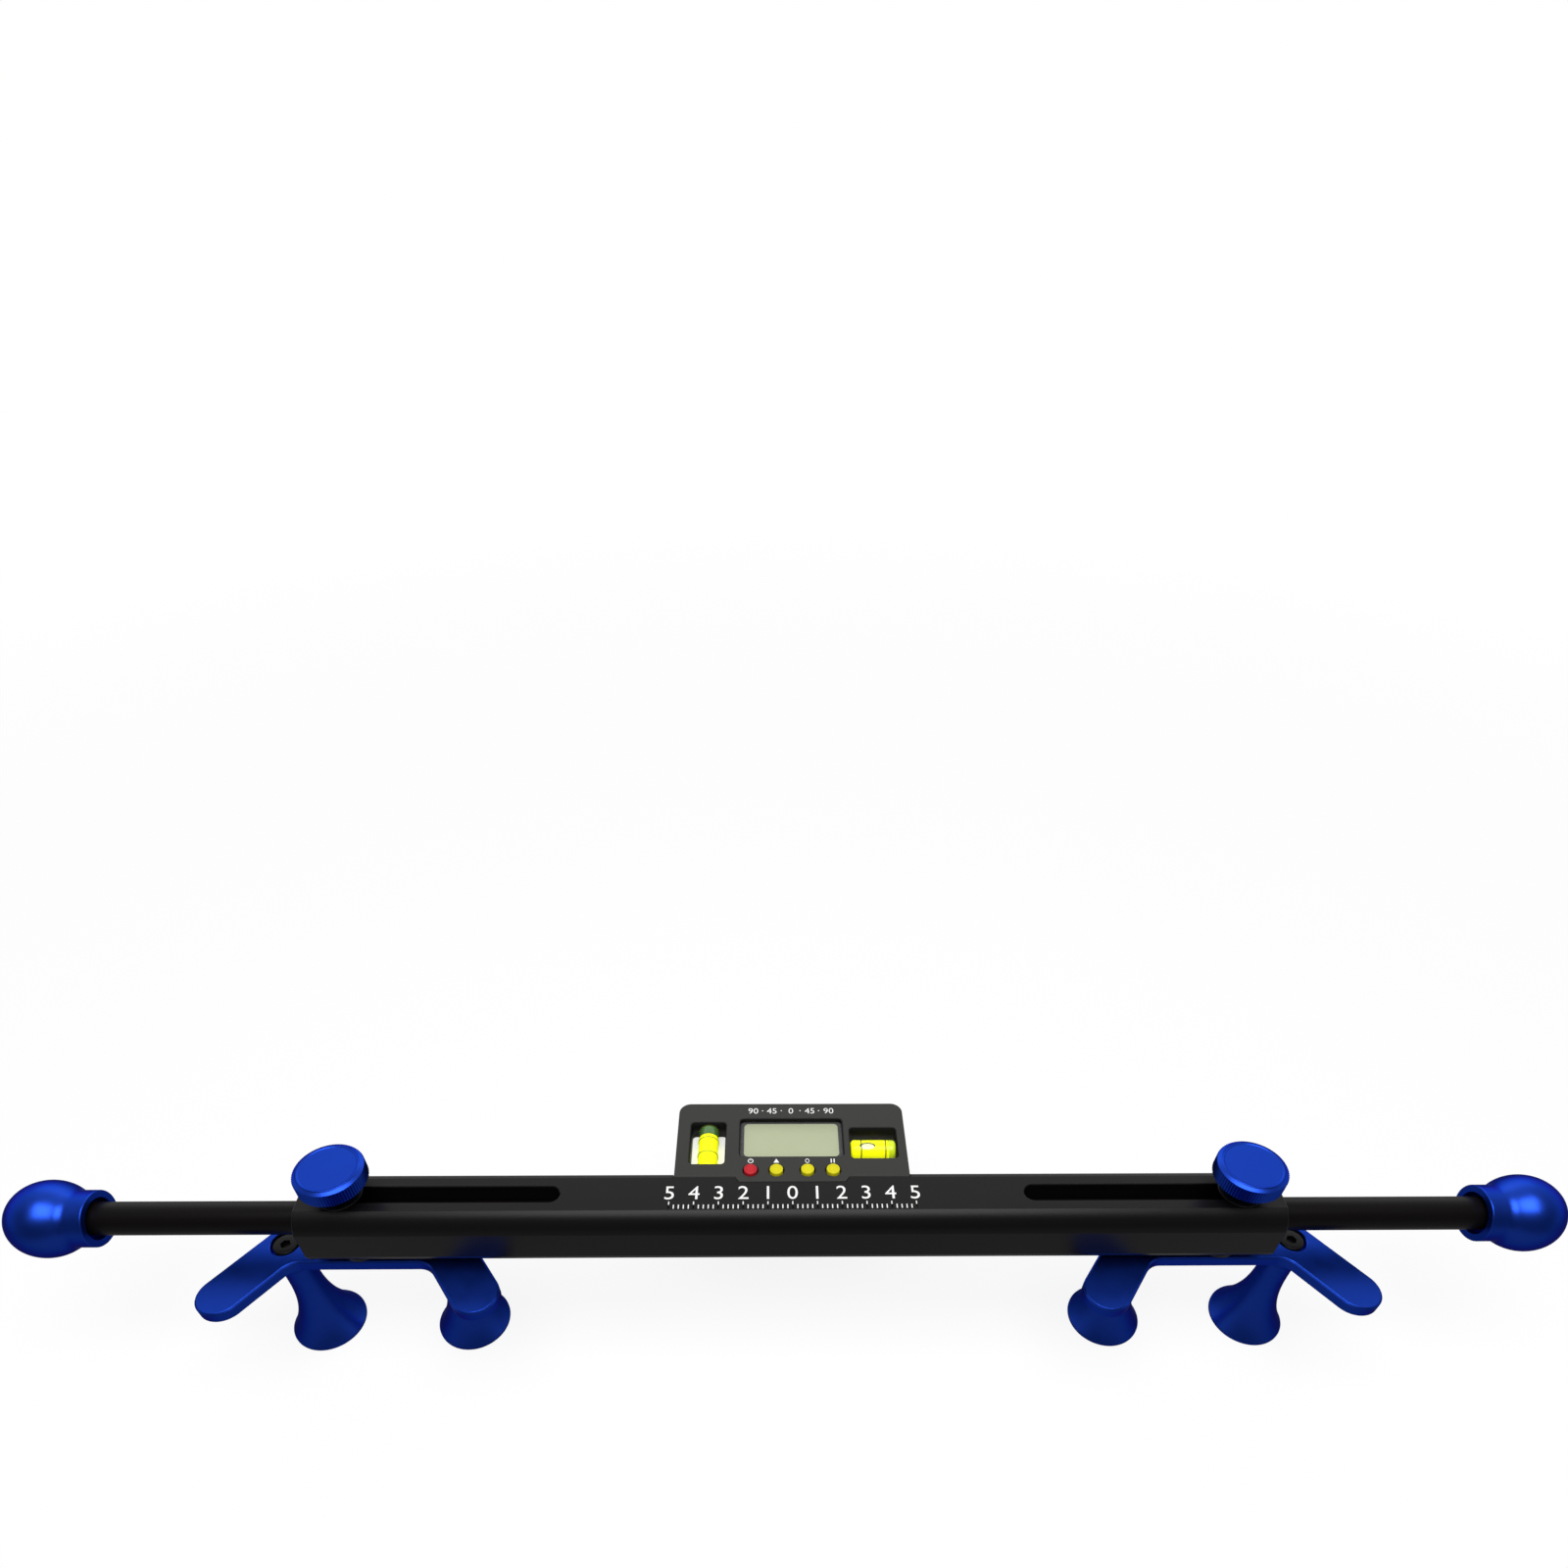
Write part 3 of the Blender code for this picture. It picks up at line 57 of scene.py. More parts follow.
TURN_STEPS = 96
SMALL_TURN_STEPS = 48
FILLET_STEPS = 6
SMALL_FILLET_STEPS = 4
OVERRUN = 0.001
SEAT_GAP = 0.0003
PRINT_THICKNESS = 0.00003
SAME_POINT = 0.000003
FINE_TURN_STEPS = 128
SMOOTH_ANGLE = math.radians(34)
EVEN_WEIGHT = 100
NOISE_DETAIL = 3.0
BUMP_STRENGTH = 0.6
TYPE_RESOLUTION = 4
TRUNK_SEGMENTS = 80

Point = tuple[float, float]
Outline = list[Point]
Colour = tuple[float, float, float]
BMesh = bmesh.types.BMesh


class Grain(Enum):
    """Way in which the fine texture of a finish runs, as a scale along each axis."""

    EVEN = (1.0, 1.0, 1.0)
    ALONG_X = (0.015, 1.0, 1.0)


def math_node(tree: bpy.types.NodeTree, operation: str, *values: object) -> bpy.types.NodeSocket:
    """Add a math node.

    Args:
        tree: The tree that it joins.
        operation: The node's operation.
        *values: A socket or a plain value for each of its inputs.

    Returns:
        The node's result.
    """
    node = tree.nodes.new("ShaderNodeMath")
    node.operation = operation
    for socket, value in zip(node.inputs, values):
        if isinstance(value, bpy.types.NodeSocket):
            tree.links.new(value, socket)
        else:
            socket.default_value = value
    return node.outputs[0]


def range_node(tree: bpy.types.NodeTree, value: bpy.types.NodeSocket, source: Point, target: Point,
               curve: str = "LINEAR") -> bpy.types.NodeSocket:
    """Add a node that maps one range of values to another.

    Args:
        tree: The tree that it joins.
        value: The value to map.
        source: The range that the value runs over.
        target: The range that the result runs over.
        curve: The kind of interpolation.

    Returns:
        The mapped value.
    """
    node = tree.nodes.new("ShaderNodeMapRange")
    node.interpolation_type = curve
    for label, number in zip(("From Min", "From Max", "To Min", "To Max"), (*source, *target)):
        node.inputs[label].default_value = number
    tree.links.new(value, node.inputs["Value"])
    return node.outputs["Result"]


def blend_node(tree: bpy.types.NodeTree, share: bpy.types.NodeSocket, first: Colour,
               second: Colour) -> bpy.types.NodeSocket:
    """Add a node that blends two colours.

    Args:
        tree: The tree that it joins.
        share: The second colour's share.
        first: The colour at zero.
        second: The colour at one.

    Returns:
        The blended colour.
    """
    node = tree.nodes.new("ShaderNodeMix")
    node.data_type = "RGBA"
    node.inputs["A"].default_value = (*first, 1.0)
    node.inputs["B"].default_value = (*second, 1.0)
    tree.links.new(share, node.inputs["Factor"])
    return node.outputs["Result"]


@dataclass(frozen=True)
class Finish:
    """One surface finish: its colour and gloss, with fine grain and slow variation over the surface."""

    name: str
    colour: Colour
    roughness: float
    metallic: float = 0.0
    specular: float = 0.5
    edge_tint: Colour = (1.0, 1.0, 1.0)
    grain: Grain = Grain.EVEN
    grain_scale: float = 2600.0
    grain_depth: float = 0.00002
    cloud_scale: float = 90.0
    colour_spread: float = 0.10
    roughness_spread: float = 0.06
    coat: float = 0.0
    alpha: float = 1.0
    # Painted light: a glow above zero makes a part emit its own colour, though it is no lamp.
    glow: float = 0.0

    def material(self) -> bpy.types.Material:
        """Return the finish's material, made on first use.

        Returns:
            The Blender material that carries this finish.
        """
        found = bpy.data.materials.get(self.name)
        if found:
            return found
        made = bpy.data.materials.new(self.name)
        made.use_nodes = True
        tree = made.node_tree
        link = tree.links.new
        shader = tree.nodes["Principled BSDF"]
        for socket, value in (("Metallic", self.metallic), ("Specular IOR Level", self.specular),
                              ("Coat Weight", self.coat), ("Alpha", self.alpha),
                              ("Emission Strength", self.glow)):
            shader.inputs[socket].default_value = value
        shader.inputs["Emission Color"].default_value = (*self.colour, 1.0)
        shader.inputs["Specular Tint"].default_value = (*self.edge_tint, 1.0)
        shader.inputs["Coat Roughness"].default_value = self.roughness
        place = tree.nodes.new("ShaderNodeTexCoord")
        stretch = tree.nodes.new("ShaderNodeMapping")
        stretch.inputs["Scale"].default_value = self.grain.value
        link(place.outputs["Object"], stretch.inputs["Vector"])
        noises = [self._noise(tree, stretch.outputs["Vector"], scale)
                  for scale in (self.grain_scale, self.cloud_scale)]
        fine, cloud = noises

        pale, deep = (tuple(part * share for part in self.colour)
                      for share in (1 - self.colour_spread, 1 + self.colour_spread))
        link(blend_node(tree, cloud, pale, deep), shader.inputs["Base Color"])
        rough = (self.roughness - self.roughness_spread, self.roughness + self.roughness_spread)
        both = math_node(tree, "ADD", *noises)
        link(range_node(tree, both, (0.0, float(len(noises))), rough), shader.inputs["Roughness"])
        bump = tree.nodes.new("ShaderNodeBump")
        bump.inputs["Distance"].default_value = self.grain_depth
        bump.inputs["Strength"].default_value = BUMP_STRENGTH
        link(fine, bump.inputs["Height"])
        link(bump.outputs["Normal"], shader.inputs["Normal"])
        return made

    @staticmethod
    def _noise(tree: bpy.types.NodeTree, vector: bpy.types.NodeSocket, scale: float) -> bpy.types.NodeSocket:
        """Add a noise texture.

        Args:
            tree: The material's node tree.
            vector: The coordinates to read.
            scale: Features to the metre.

        Returns:
            The noise's value socket.
        """
        noise = tree.nodes.new("ShaderNodeTexNoise")
        noise.inputs["Scale"].default_value = scale
        noise.inputs["Detail"].default_value = NOISE_DETAIL
        tree.links.new(vector, noise.inputs["Vector"])
        return noise.outputs["Fac"]


BLUE_ANODISED = Finish("satin_blue", (0.0115, 0.052, 0.44), 0.34, metallic=0.95, specular=0.3,
                       edge_tint=(0.14, 0.12, 0.34), grain_scale=5200.0, grain_depth=0.000012,
                       cloud_scale=150.0, colour_spread=0.05, roughness_spread=0.11, coat=0.04)
RAIL_BLACK = Finish("rail_black", (0.0038, 0.0033, 0.0034), 0.33, specular=0.20, grain=Grain.ALONG_X,
                    grain_scale=3200.0, grain_depth=0.000010, cloud_scale=300.0, colour_spread=0.16)
ROD_BLACK = Finish("rod_black", (0.0040, 0.0032, 0.0032), 0.36, specular=0.10, grain=Grain.ALONG_X,
                   grain_scale=2600.0, grain_depth=0.000008, cloud_scale=220.0, colour_spread=0.14)
BLACK_OXIDE = Finish("black_oxide", (0.006, 0.006, 0.006), 0.36, metallic=0.1, specular=0.2,
                     grain_scale=4000.0, grain_depth=0.000008)
PLAIN_STEEL = Finish("plain_steel", (0.55, 0.55, 0.56), 0.28, metallic=1.0, grain_scale=3500.0,
                     grain_depth=0.000006)
CASE_GREY = Finish("case_grey", (0.035, 0.035, 0.033), 0.50, specular=0.16, grain_scale=3800.0,
                   grain_depth=0.000020, cloud_scale=50.0, colour_spread=0.07)
CASE_BLACK = Finish("case_black", (0.003, 0.003, 0.003), 0.55, specular=0.1, grain_scale=3000.0)
BOARD_GREEN = Finish("circuit_laminate", (0.02, 0.16, 0.06), 0.5, grain_scale=900.0, colour_spread=0.2)
LCD_GREEN = Finish("lcd_green", (0.415, 0.455, 0.280), 0.34, specular=0.2, grain_scale=1800.0,
                   grain_depth=0.000004, cloud_scale=28.0, colour_spread=0.05)
COVER_CLEAR = Finish("cover_clear", (0.95, 0.97, 0.97), 0.05, specular=0.4, alpha=0.04, grain_scale=400.0,
                     grain_depth=0.000001, roughness_spread=0.02)
VIAL_CLEAR = Finish("vial_clear", (0.85, 0.95, 0.10), 0.08, specular=0.15, alpha=0.05, grain_scale=600.0,
                    grain_depth=0.000002, roughness_spread=0.02)
# Painted light: the fluid glows, which makes it brighter than the lamps light it.
VIAL_LIQUID = Finish("vial_fluid", (0.89, 0.92, 0.002), 0.30, specular=0.2, grain_scale=500.0,
                     grain_depth=0.000002, cloud_scale=120.0, colour_spread=0.05, glow=0.50)
VIAL_END = Finish("vial_end", (0.02, 0.13, 0.035), 0.22, grain_scale=700.0, grain_depth=0.000003)
# Painted light: a slight glow brightens the bubble.
BUBBLE_PALE = Finish("bubble_pale", (0.88, 0.92, 0.52), 0.12, coat=0.4, grain_scale=500.0,
                     grain_depth=0.000001, glow=0.10)
# Painted shade: a dark patch along the bubble's upper rim stands in for the shade at its edge. The same dark
# finish also colours the level vial's two lines.
DARK_LINE_AND_BUBBLE_SHADE = Finish("bubble_edge", (0.05, 0.07, 0.012), 0.25, grain_scale=500.0)
# Painted light: the backing glows, which lifts it out of the shade that its well casts on it.
BACKING_WHITE_PAINTED_LIGHT = Finish("backing_white", (0.86, 0.87, 0.84), 0.45, grain_scale=1500.0, grain_depth=0.000006,
                       colour_spread=0.04, glow=0.42)
# Painted light: the upright vial's lines glow a little.
VIAL_LINE = Finish("vial_line", (0.42, 0.50, 0.01), 0.4, grain_scale=500.0, glow=0.1)
# Painted light: the tinted plug glows a little.
VIAL_TINTED_END = Finish("vial_tinted_end", (0.60, 0.76, 0.010), 0.25, grain_scale=600.0, glow=0.2)
BUTTON_RED = Finish("button_red", (0.50, 0.018, 0.026), 0.44, specular=0.2, grain_scale=2200.0,
                    colour_spread=0.08)
BUTTON_YELLOW = Finish("button_yellow", (0.68, 0.62, 0.009), 0.44, specular=0.2, grain_scale=2200.0,
                       colour_spread=0.08)
PRINT_WHITE = Finish("print_white", (0.86, 0.86, 0.85), 0.55, specular=0.3, grain_scale=2600.0,
                     grain_depth=0.000004, colour_spread=0.05)
FLOOR_WHITE_NAME = "floor_white"


def rounded(corners: Sequence[tuple[float, float, float]], steps: int = FILLET_STEPS,
            closed: bool = True) -> Outline:
    """Round the corners of an outline.

    Args:
        corners: The corners, each with its fillet radius.
        steps: Straight pieces in each fillet.
        closed: Whether the outline closes on itself. An open one keeps both ends as they are.

    Returns:
        The outline's points.
    """
    points: Outline = []
    count = len(corners)
    for index, (across, along, radius) in enumerate(corners):
        if radius <= 0 or (not closed and index in (0, count - 1)):
            points.append((across, along))
            continue
        corner = Vector((across, along))
        back = (Vector(corners[index - 1][:2]) - corner).normalized()
        ahead = (Vector(corners[(index + 1) % count][:2]) - corner).normalized()
        half_angle = back.angle(ahead) / 2
        centre = corner + (back + ahead).normalized() * radius / math.sin(half_angle)
        start = corner + back * radius / math.tan(half_angle) - centre
        sweep = math.pi - 2 * half_angle
        if back.x * ahead.y - back.y * ahead.x > 0:
            sweep = -sweep
        for step in range(steps + 1):
            point = centre + Matrix.Rotation(sweep * step / steps, 2) @ start
            points.append((point.x, point.y))
    kept = [points[0]]
    for point in points[1:]:
        if math.dist(point, kept[-1]) > SAME_POINT:
            kept.append(point)
    return kept


def quarter_round(radius: float, steps: int) -> Outline:
    """Return a quarter-round edge.

    Args:
        radius: The edge's radius.
        steps: Straight pieces in it.

    Returns:
        Pairs of a drop and an inset: from (0, radius), on the face, to (radius, 0), on the side.
    """
    leans = [math.pi / 2 * step / steps for step in range(steps + 1)]
    return [(radius * (1 - math.cos(lean)), radius * (1 - math.sin(lean))) for lean in leans]


def rectangle(middle: Point, width: float, height: float, radius: float,
              steps: int = FILLET_STEPS) -> Outline:
    """Return a rectangle with four equal fillets about a middle point.

    Args:
        middle: The rectangle's middle.
        width: Its size across.
        height: Its size along.
        radius: The fillets' radius.
        steps: Straight pieces in each fillet.

    Returns:
        The outline's points.
    """
    x, y = middle
    signs = ((-1, -1), (1, -1), (1, 1), (-1, 1))
    return rounded([(x + a * width / 2, y + b * height / 2, radius) for a, b in signs], steps)


def lofted(rings: Sequence[Sequence[Sequence[float]]]) -> BMesh:
    """Return a closed solid through rings of as many points each, capped at both ends.

    Args:
        rings: The rings in order, each a row of points.

    Returns:
        The solid.
    """
    solid = bmesh.new()
    rows = [[solid.verts.new(point) for point in ring] for ring in rings]
    count = len(rows[0])
    for row, following in zip(rows, rows[1:]):
        for index in range(count):
            after = (index + 1) % count
            solid.faces.new((row[index], row[after], following[after], following[index]))
    solid.faces.new(rows[0])
    solid.faces.new(rows[-1])
    bmesh.ops.recalc_face_normals(solid, faces=solid.faces)
    return solid


def prism(outline: Outline, low: float, high: float) -> BMesh:
    """Return an outline in X and Y extruded between two heights."""
    return lofted([[(x, y, z) for x, y in outline] for z in (low, high)])


def turned(profile: Outline, steps: int = TURN_STEPS) -> BMesh:
    """Turn a profile of (radius, height) points about Z.

    Args:
        profile: The points, from axis to axis, or a closed loop that stays off the axis.
        steps: Faces round the axis.

    Returns:
        The closed solid.
    """
    solid = bmesh.new()
    angles = [math.tau * step / steps for step in range(steps)]
    rows = []
    for radius, height in profile:
        if radius == 0:
            rows.append([solid.verts.new((0, 0, height))])
        else:
            rows.append([solid.verts.new((radius * math.cos(angle), radius * math.sin(angle), height))
                         for angle in angles])
    pairs = list(zip(rows, rows[1:]))
    if profile[0][0] > 0:
        pairs.append((rows[-1], rows[0]))
    for low, high in pairs:
        for index in range(steps):
            after = (index + 1) % steps
            corners = (low[index % len(low)], low[after % len(low)], high[after % len(high)],
                       high[index % len(high)])
            distinct = list(dict.fromkeys(corners))
            if len(distinct) > 2:
                solid.faces.new(distinct)
    bmesh.ops.recalc_face_normals(solid, faces=solid.faces)
    return solid


def drill(radius: float, low: float, high: float) -> BMesh:
    """Return the cutter of a round hole about Z that passes both ends."""
    profile = [(0, low - OVERRUN), (radius, low - OVERRUN), (radius, high + OVERRUN), (0, high + OVERRUN)]
    return turned(profile, SMALL_TURN_STEPS)


def box_solid(lowest: Sequence[float], highest: Sequence[float]) -> BMesh:
    """Return a box between two corners.

    Args:
        lowest: The lowest corner.
        highest: The highest corner.

    Returns:
        The solid.
    """
    solid = bmesh.new()
    middle = (Vector(lowest) + Vector(highest)) / 2
    extent = Vector(highest) - Vector(lowest)
    bmesh.ops.create_cube(solid, size=1, matrix=Matrix.Translation(middle) @ Matrix.Diagonal((*extent, 1)))
    return solid


def placed(solid: BMesh, place: Sequence[float], turn: Matrix | None = None) -> BMesh:
    """Turn a solid about the origin and then shift it.

    Args:
        solid: The solid to move.
        place: Where its origin goes.
        turn: The turn about the origin, if any.

    Returns:
        The same solid.
    """
    matrix = Matrix.Translation(place) @ (turn or Matrix.Identity(4))
    bmesh.ops.transform(solid, matrix=matrix, verts=solid.verts)
    return solid


def joined(solids: Iterable[BMesh]) -> BMesh:
    """Gather separate solids into one.

    Args:
        solids: The solids, which are used up.

    Returns:
        One solid of several parts.
    """
    group = bmesh.new()
    for solid in solids:
        scratch = mesh_of("scratch", solid)
        group.from_mesh(scratch)
        bpy.data.meshes.remove(scratch)
    return group


ALONG_X = Matrix.Rotation(math.pi / 2, 4, "Y")
ALONG_Y = Matrix.Rotation(-math.pi / 2, 4, "X")
HALF_TURN = Matrix.Rotation(math.pi, 4, "Z")


def solid_of(mesh: bpy.types.Mesh) -> BMesh:
    """Return a mesh as a solid, and use the mesh up.

    Args:
        mesh: The mesh to take over.

    Returns:
        The solid.
    """
    solid = bmesh.new()
    solid.from_mesh(mesh)
    bpy.data.meshes.remove(mesh)
    return solid


def mesh_of(name: str, solid: BMesh) -> bpy.types.Mesh:
    """Return a solid as a named mesh, and use the solid up.

    Args:
        name: The mesh's name.
        solid: The solid to take over.

    Returns:
        The mesh.
    """
    mesh = bpy.data.meshes.new(name)
    solid.to_mesh(mesh)
    solid.free()
    return mesh


def add_piece(name: str, solid: BMesh, finish: Finish) -> bpy.types.Object:
    """Make a named object of a solid, with its finish, shaded smooth up to its sharp edges.

    Args:
        name: The object's name.
        solid: Its solid, which is used up.
        finish: Its finish.

    Returns:
        The object.
    """
    mesh = mesh_of(name, solid)
    mesh.materials.append(finish.material())
    mesh.shade_smooth()
    mesh.set_sharp_from_angle(angle=SMOOTH_ANGLE)
    return add_object(name, mesh)


def add_object(name: str, data: bpy.types.ID) -> bpy.types.Object:
    """Make a named object in the scene.

    Args:
        name: The object's name.
        data: Its mesh, text, lamp or camera.

    Returns:
        The object.
    """
    made = bpy.data.objects.new(name, data)
    bpy.context.scene.collection.objects.link(made)
    return made


def baked(source: bpy.types.Object) -> bpy.types.Mesh:
    """Return a plain mesh of an object as its modifiers leave it.

    Args:
        source: The object to read.

    Returns:
        A new mesh.
    """
    bpy.context.view_layer.update()
    shaped = source.evaluated_get(bpy.context.evaluated_depsgraph_get())
    return bpy.data.meshes.new_from_object(shaped)


def bake(piece: bpy.types.Object) -> None:
    """Replace a piece's mesh by what its modifiers make of it, and clear them.

    Args:
        piece: The piece to change.
    """
    mesh = baked(piece)
    before = piece.data
    piece.modifiers.clear()
    piece.data = mesh
    bpy.data.meshes.remove(before)


def carve(piece: bpy.types.Object, cutter_solid: BMesh, operation: str = "DIFFERENCE") -> None:
    """Cut a solid out of a piece, or join it on, and keep the plain result.

    Args:
        piece: The piece to change.
        cutter_solid: The solid to cut or join, which is used up.
        operation: The Boolean operation.
    """
    cutter = add_piece("cutter", cutter_solid, CASE_BLACK)
    modifier = piece.modifiers.new("cut", "BOOLEAN")
    modifier.operation = operation
    modifier.solver = "EXACT"
    modifier.object = cutter
    modifier.material_mode = "INDEX"
    bake(piece)
    bpy.data.meshes.remove(cutter.data)


def even_shading(piece: bpy.types.Object) -> None:
    """Weight a cut piece's normals by face area, so that its flats shade flat beside their fillets.

    Args:
        piece: The piece to change.
    """
    piece.data.set_sharp_from_angle(angle=SMOOTH_ANGLE)
    modifier = piece.modifiers.new("normals", "WEIGHTED_NORMAL")
    modifier.keep_sharp = True
    modifier.weight = EVEN_WEIGHT
    bake(piece)


def settle(piece: bpy.types.Object, body: str, slot: str, *nodes: str) -> bpy.types.Object:
    """Fix a piece to its body, and let it stand for its CAD nodes.

    Args:
        piece: The finished piece.
        body: The CAD body that it moves with.
        slot: The record's material slot; not used.
        *nodes: The CAD nodes that it replaces.

    Returns:
        The piece.
    """
    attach(piece, body)
    if nodes:
        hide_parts(*nodes)
    LOG.info("%s rides on %s and stands for %s", piece.name, body, ", ".join(nodes) or "nothing")
    return piece


def dress(node: str, finish: Finish) -> None:
    """Give a CAD node its finish.

    Args:
        node: The node's name.
        finish: Its finish.
    """
    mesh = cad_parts[node].data
    mesh.materials.clear()
    mesh.materials.append(finish.material())
    LOG.info("%s is dressed in %s", node, finish.name)


def middle_of(node: str) -> Vector:
    """Return the middle of a CAD node's box."""
    low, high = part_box(node)
    return (low + high) / 2


class ShapeTree:
    """A Geometry Nodes tree with named inputs, built node by node."""

    def __init__(self, name: str, inputs: Sequence[tuple[str, str]]) -> None:
        """Start a tree.

        Args:
            name: The tree's name.
            inputs: Each input's name and kind of socket. A Material input is added after them.
        """
        self.tree = bpy.data.node_groups.new(name, "GeometryNodeTree")
        self.tree.interface.new_socket("Geometry", in_out="OUTPUT", socket_type="NodeSocketGeometry")
        self.keys: dict[str, str] = {}
        for label, kind in (*inputs, ("Material", "NodeSocketMaterial")):
            socket = self.tree.interface.new_socket(label, in_out="INPUT", socket_type=kind)
            self.keys[label] = socket.identifier
        self.inputs = self.tree.nodes.new("NodeGroupInput").outputs

    def add(self, kind: str, **given: object) -> bpy.types.Node:
        """Add a node.

        Args:
            kind: The node's type.
            **given: A value or a socket for each input, with spaces in its name as underscores,
                or a property of the node in small letters.

        Returns:
            The node.
        """
        node = self.tree.nodes.new(kind)
        for label, value in given.items():
            if label[0].islower():
                setattr(node, label, value)
                continue
            socket = node.inputs[label.replace("_", " ")]
            if isinstance(value, bpy.types.NodeSocket):
                self.tree.links.new(value, socket)
            else:
                socket.default_value = value
        return node

    def math(self, operation: str, first: object, second: object = 0.0) -> bpy.types.NodeSocket:
        """Add a math node and return its result."""
        return math_node(self.tree, operation, first, second)

    def end(self, geometry: bpy.types.NodeSocket) -> None:
        """End the tree in Realize Instances and Set Material.

        Args:
            geometry: What the tree has made.
        """
        whole = self.add("GeometryNodeRealizeInstances", Geometry=geometry)
        coloured = self.add("GeometryNodeSetMaterial", Geometry=whole.outputs[0],
                            Material=self.inputs["Material"])
        out = self.tree.nodes.new("NodeGroupOutput")
        self.tree.links.new(coloured.outputs[0], out.inputs[0])

    def mesh(self, finish: Finish, **values: object) -> bpy.types.Mesh:
        """Run the tree.

        Args:
            finish: The finish of what it makes.
            **values: A value for each input, with spaces in its name as underscores.

        Returns:
            A plain mesh.
        """
        holder = add_object("holder", bpy.data.meshes.new("holder"))
        modifier = holder.modifiers.new("shape", "NODES")
        modifier.node_group = self.tree
        modifier[self.keys["Material"]] = finish.material()
        for label, value in values.items():
            modifier[self.keys[label.replace("_", " ")]] = value
        made = baked(holder)
        bpy.data.objects.remove(holder)
        return made


def row_tree() -> ShapeTree:
    """Return a tree that sets equal boxes in a row, for ticks and grip ribs.

    Returns:
        The tree.
    """
    tree = ShapeTree("row_of_bars", (("Count", "NodeSocketInt"), ("Start", "NodeSocketVector"),
                                     ("Step", "NodeSocketVector"), ("Size", "NodeSocketVector")))
    line = tree.add("GeometryNodeMeshLine", mode="OFFSET", Count=tree.inputs["Count"],
                    Start_Location=tree.inputs["Start"], Offset=tree.inputs["Step"])
    bar = tree.add("GeometryNodeMeshCube", Size=tree.inputs["Size"])
    row = tree.add("GeometryNodeInstanceOnPoints", Points=line.outputs["Mesh"], Instance=bar.outputs["Mesh"])
    tree.end(row.outputs["Instances"])
    return tree


def copies_tree() -> ShapeTree:
    """Return a tree that sets copies of one part in a row, for screws.

    Returns:
        The tree.
    """
    tree = ShapeTree("row_of_copies", (("Part", "NodeSocketObject"), ("Count", "NodeSocketInt"),
                                       ("Start", "NodeSocketVector"), ("Step", "NodeSocketVector")))
    line = tree.add("GeometryNodeMeshLine", mode="OFFSET", Count=tree.inputs["Count"],
                    Start_Location=tree.inputs["Start"], Offset=tree.inputs["Step"])
    part = tree.add("GeometryNodeObjectInfo", Object=tree.inputs["Part"])
    row = tree.add("GeometryNodeInstanceOnPoints", Points=line.outputs["Mesh"],
                   Instance=part.outputs["Geometry"])
    tree.end(row.outputs["Instances"])
    return tree


def knurl_tree() -> ShapeTree:
    """Return a tree that sets straight ridges round a rim, for knobs.

    Returns:
        The tree.
    """
    tree = ShapeTree("rim_of_ridges", (("Count", "NodeSocketInt"), ("Radius", "NodeSocketFloat"),
                                       ("Reach", "NodeSocketFloat"), ("Width", "NodeSocketFloat"),
                                       ("Height", "NodeSocketFloat"), ("Centre", "NodeSocketVector")))
    rim = tree.add("GeometryNodeMeshCircle", Vertices=tree.inputs["Count"], Radius=tree.inputs["Radius"])
    moved_rim = tree.add("GeometryNodeTransform", Geometry=rim.outputs["Mesh"],
                         Translation=tree.inputs["Centre"])
    ridge = tree.add("GeometryNodeMeshCylinder", Vertices=4, Radius=1.0, Depth=tree.inputs["Height"])
    size = tree.add("ShaderNodeCombineXYZ", X=tree.inputs["Reach"], Y=tree.inputs["Width"], Z=1.0)
    thin = tree.add("GeometryNodeTransform", Geometry=ridge.outputs["Mesh"], Scale=size.outputs[0])
    share = tree.math("DIVIDE", tree.add("GeometryNodeInputIndex").outputs[0], tree.inputs["Count"])
    turn = tree.add("ShaderNodeCombineXYZ", Z=tree.math("MULTIPLY", share, math.tau))
    ring = tree.add("GeometryNodeInstanceOnPoints", Points=moved_rim.outputs["Geometry"],
                    Instance=thin.outputs["Geometry"], Rotation=turn.outputs[0])
    tree.end(ring.outputs["Instances"])
    return tree


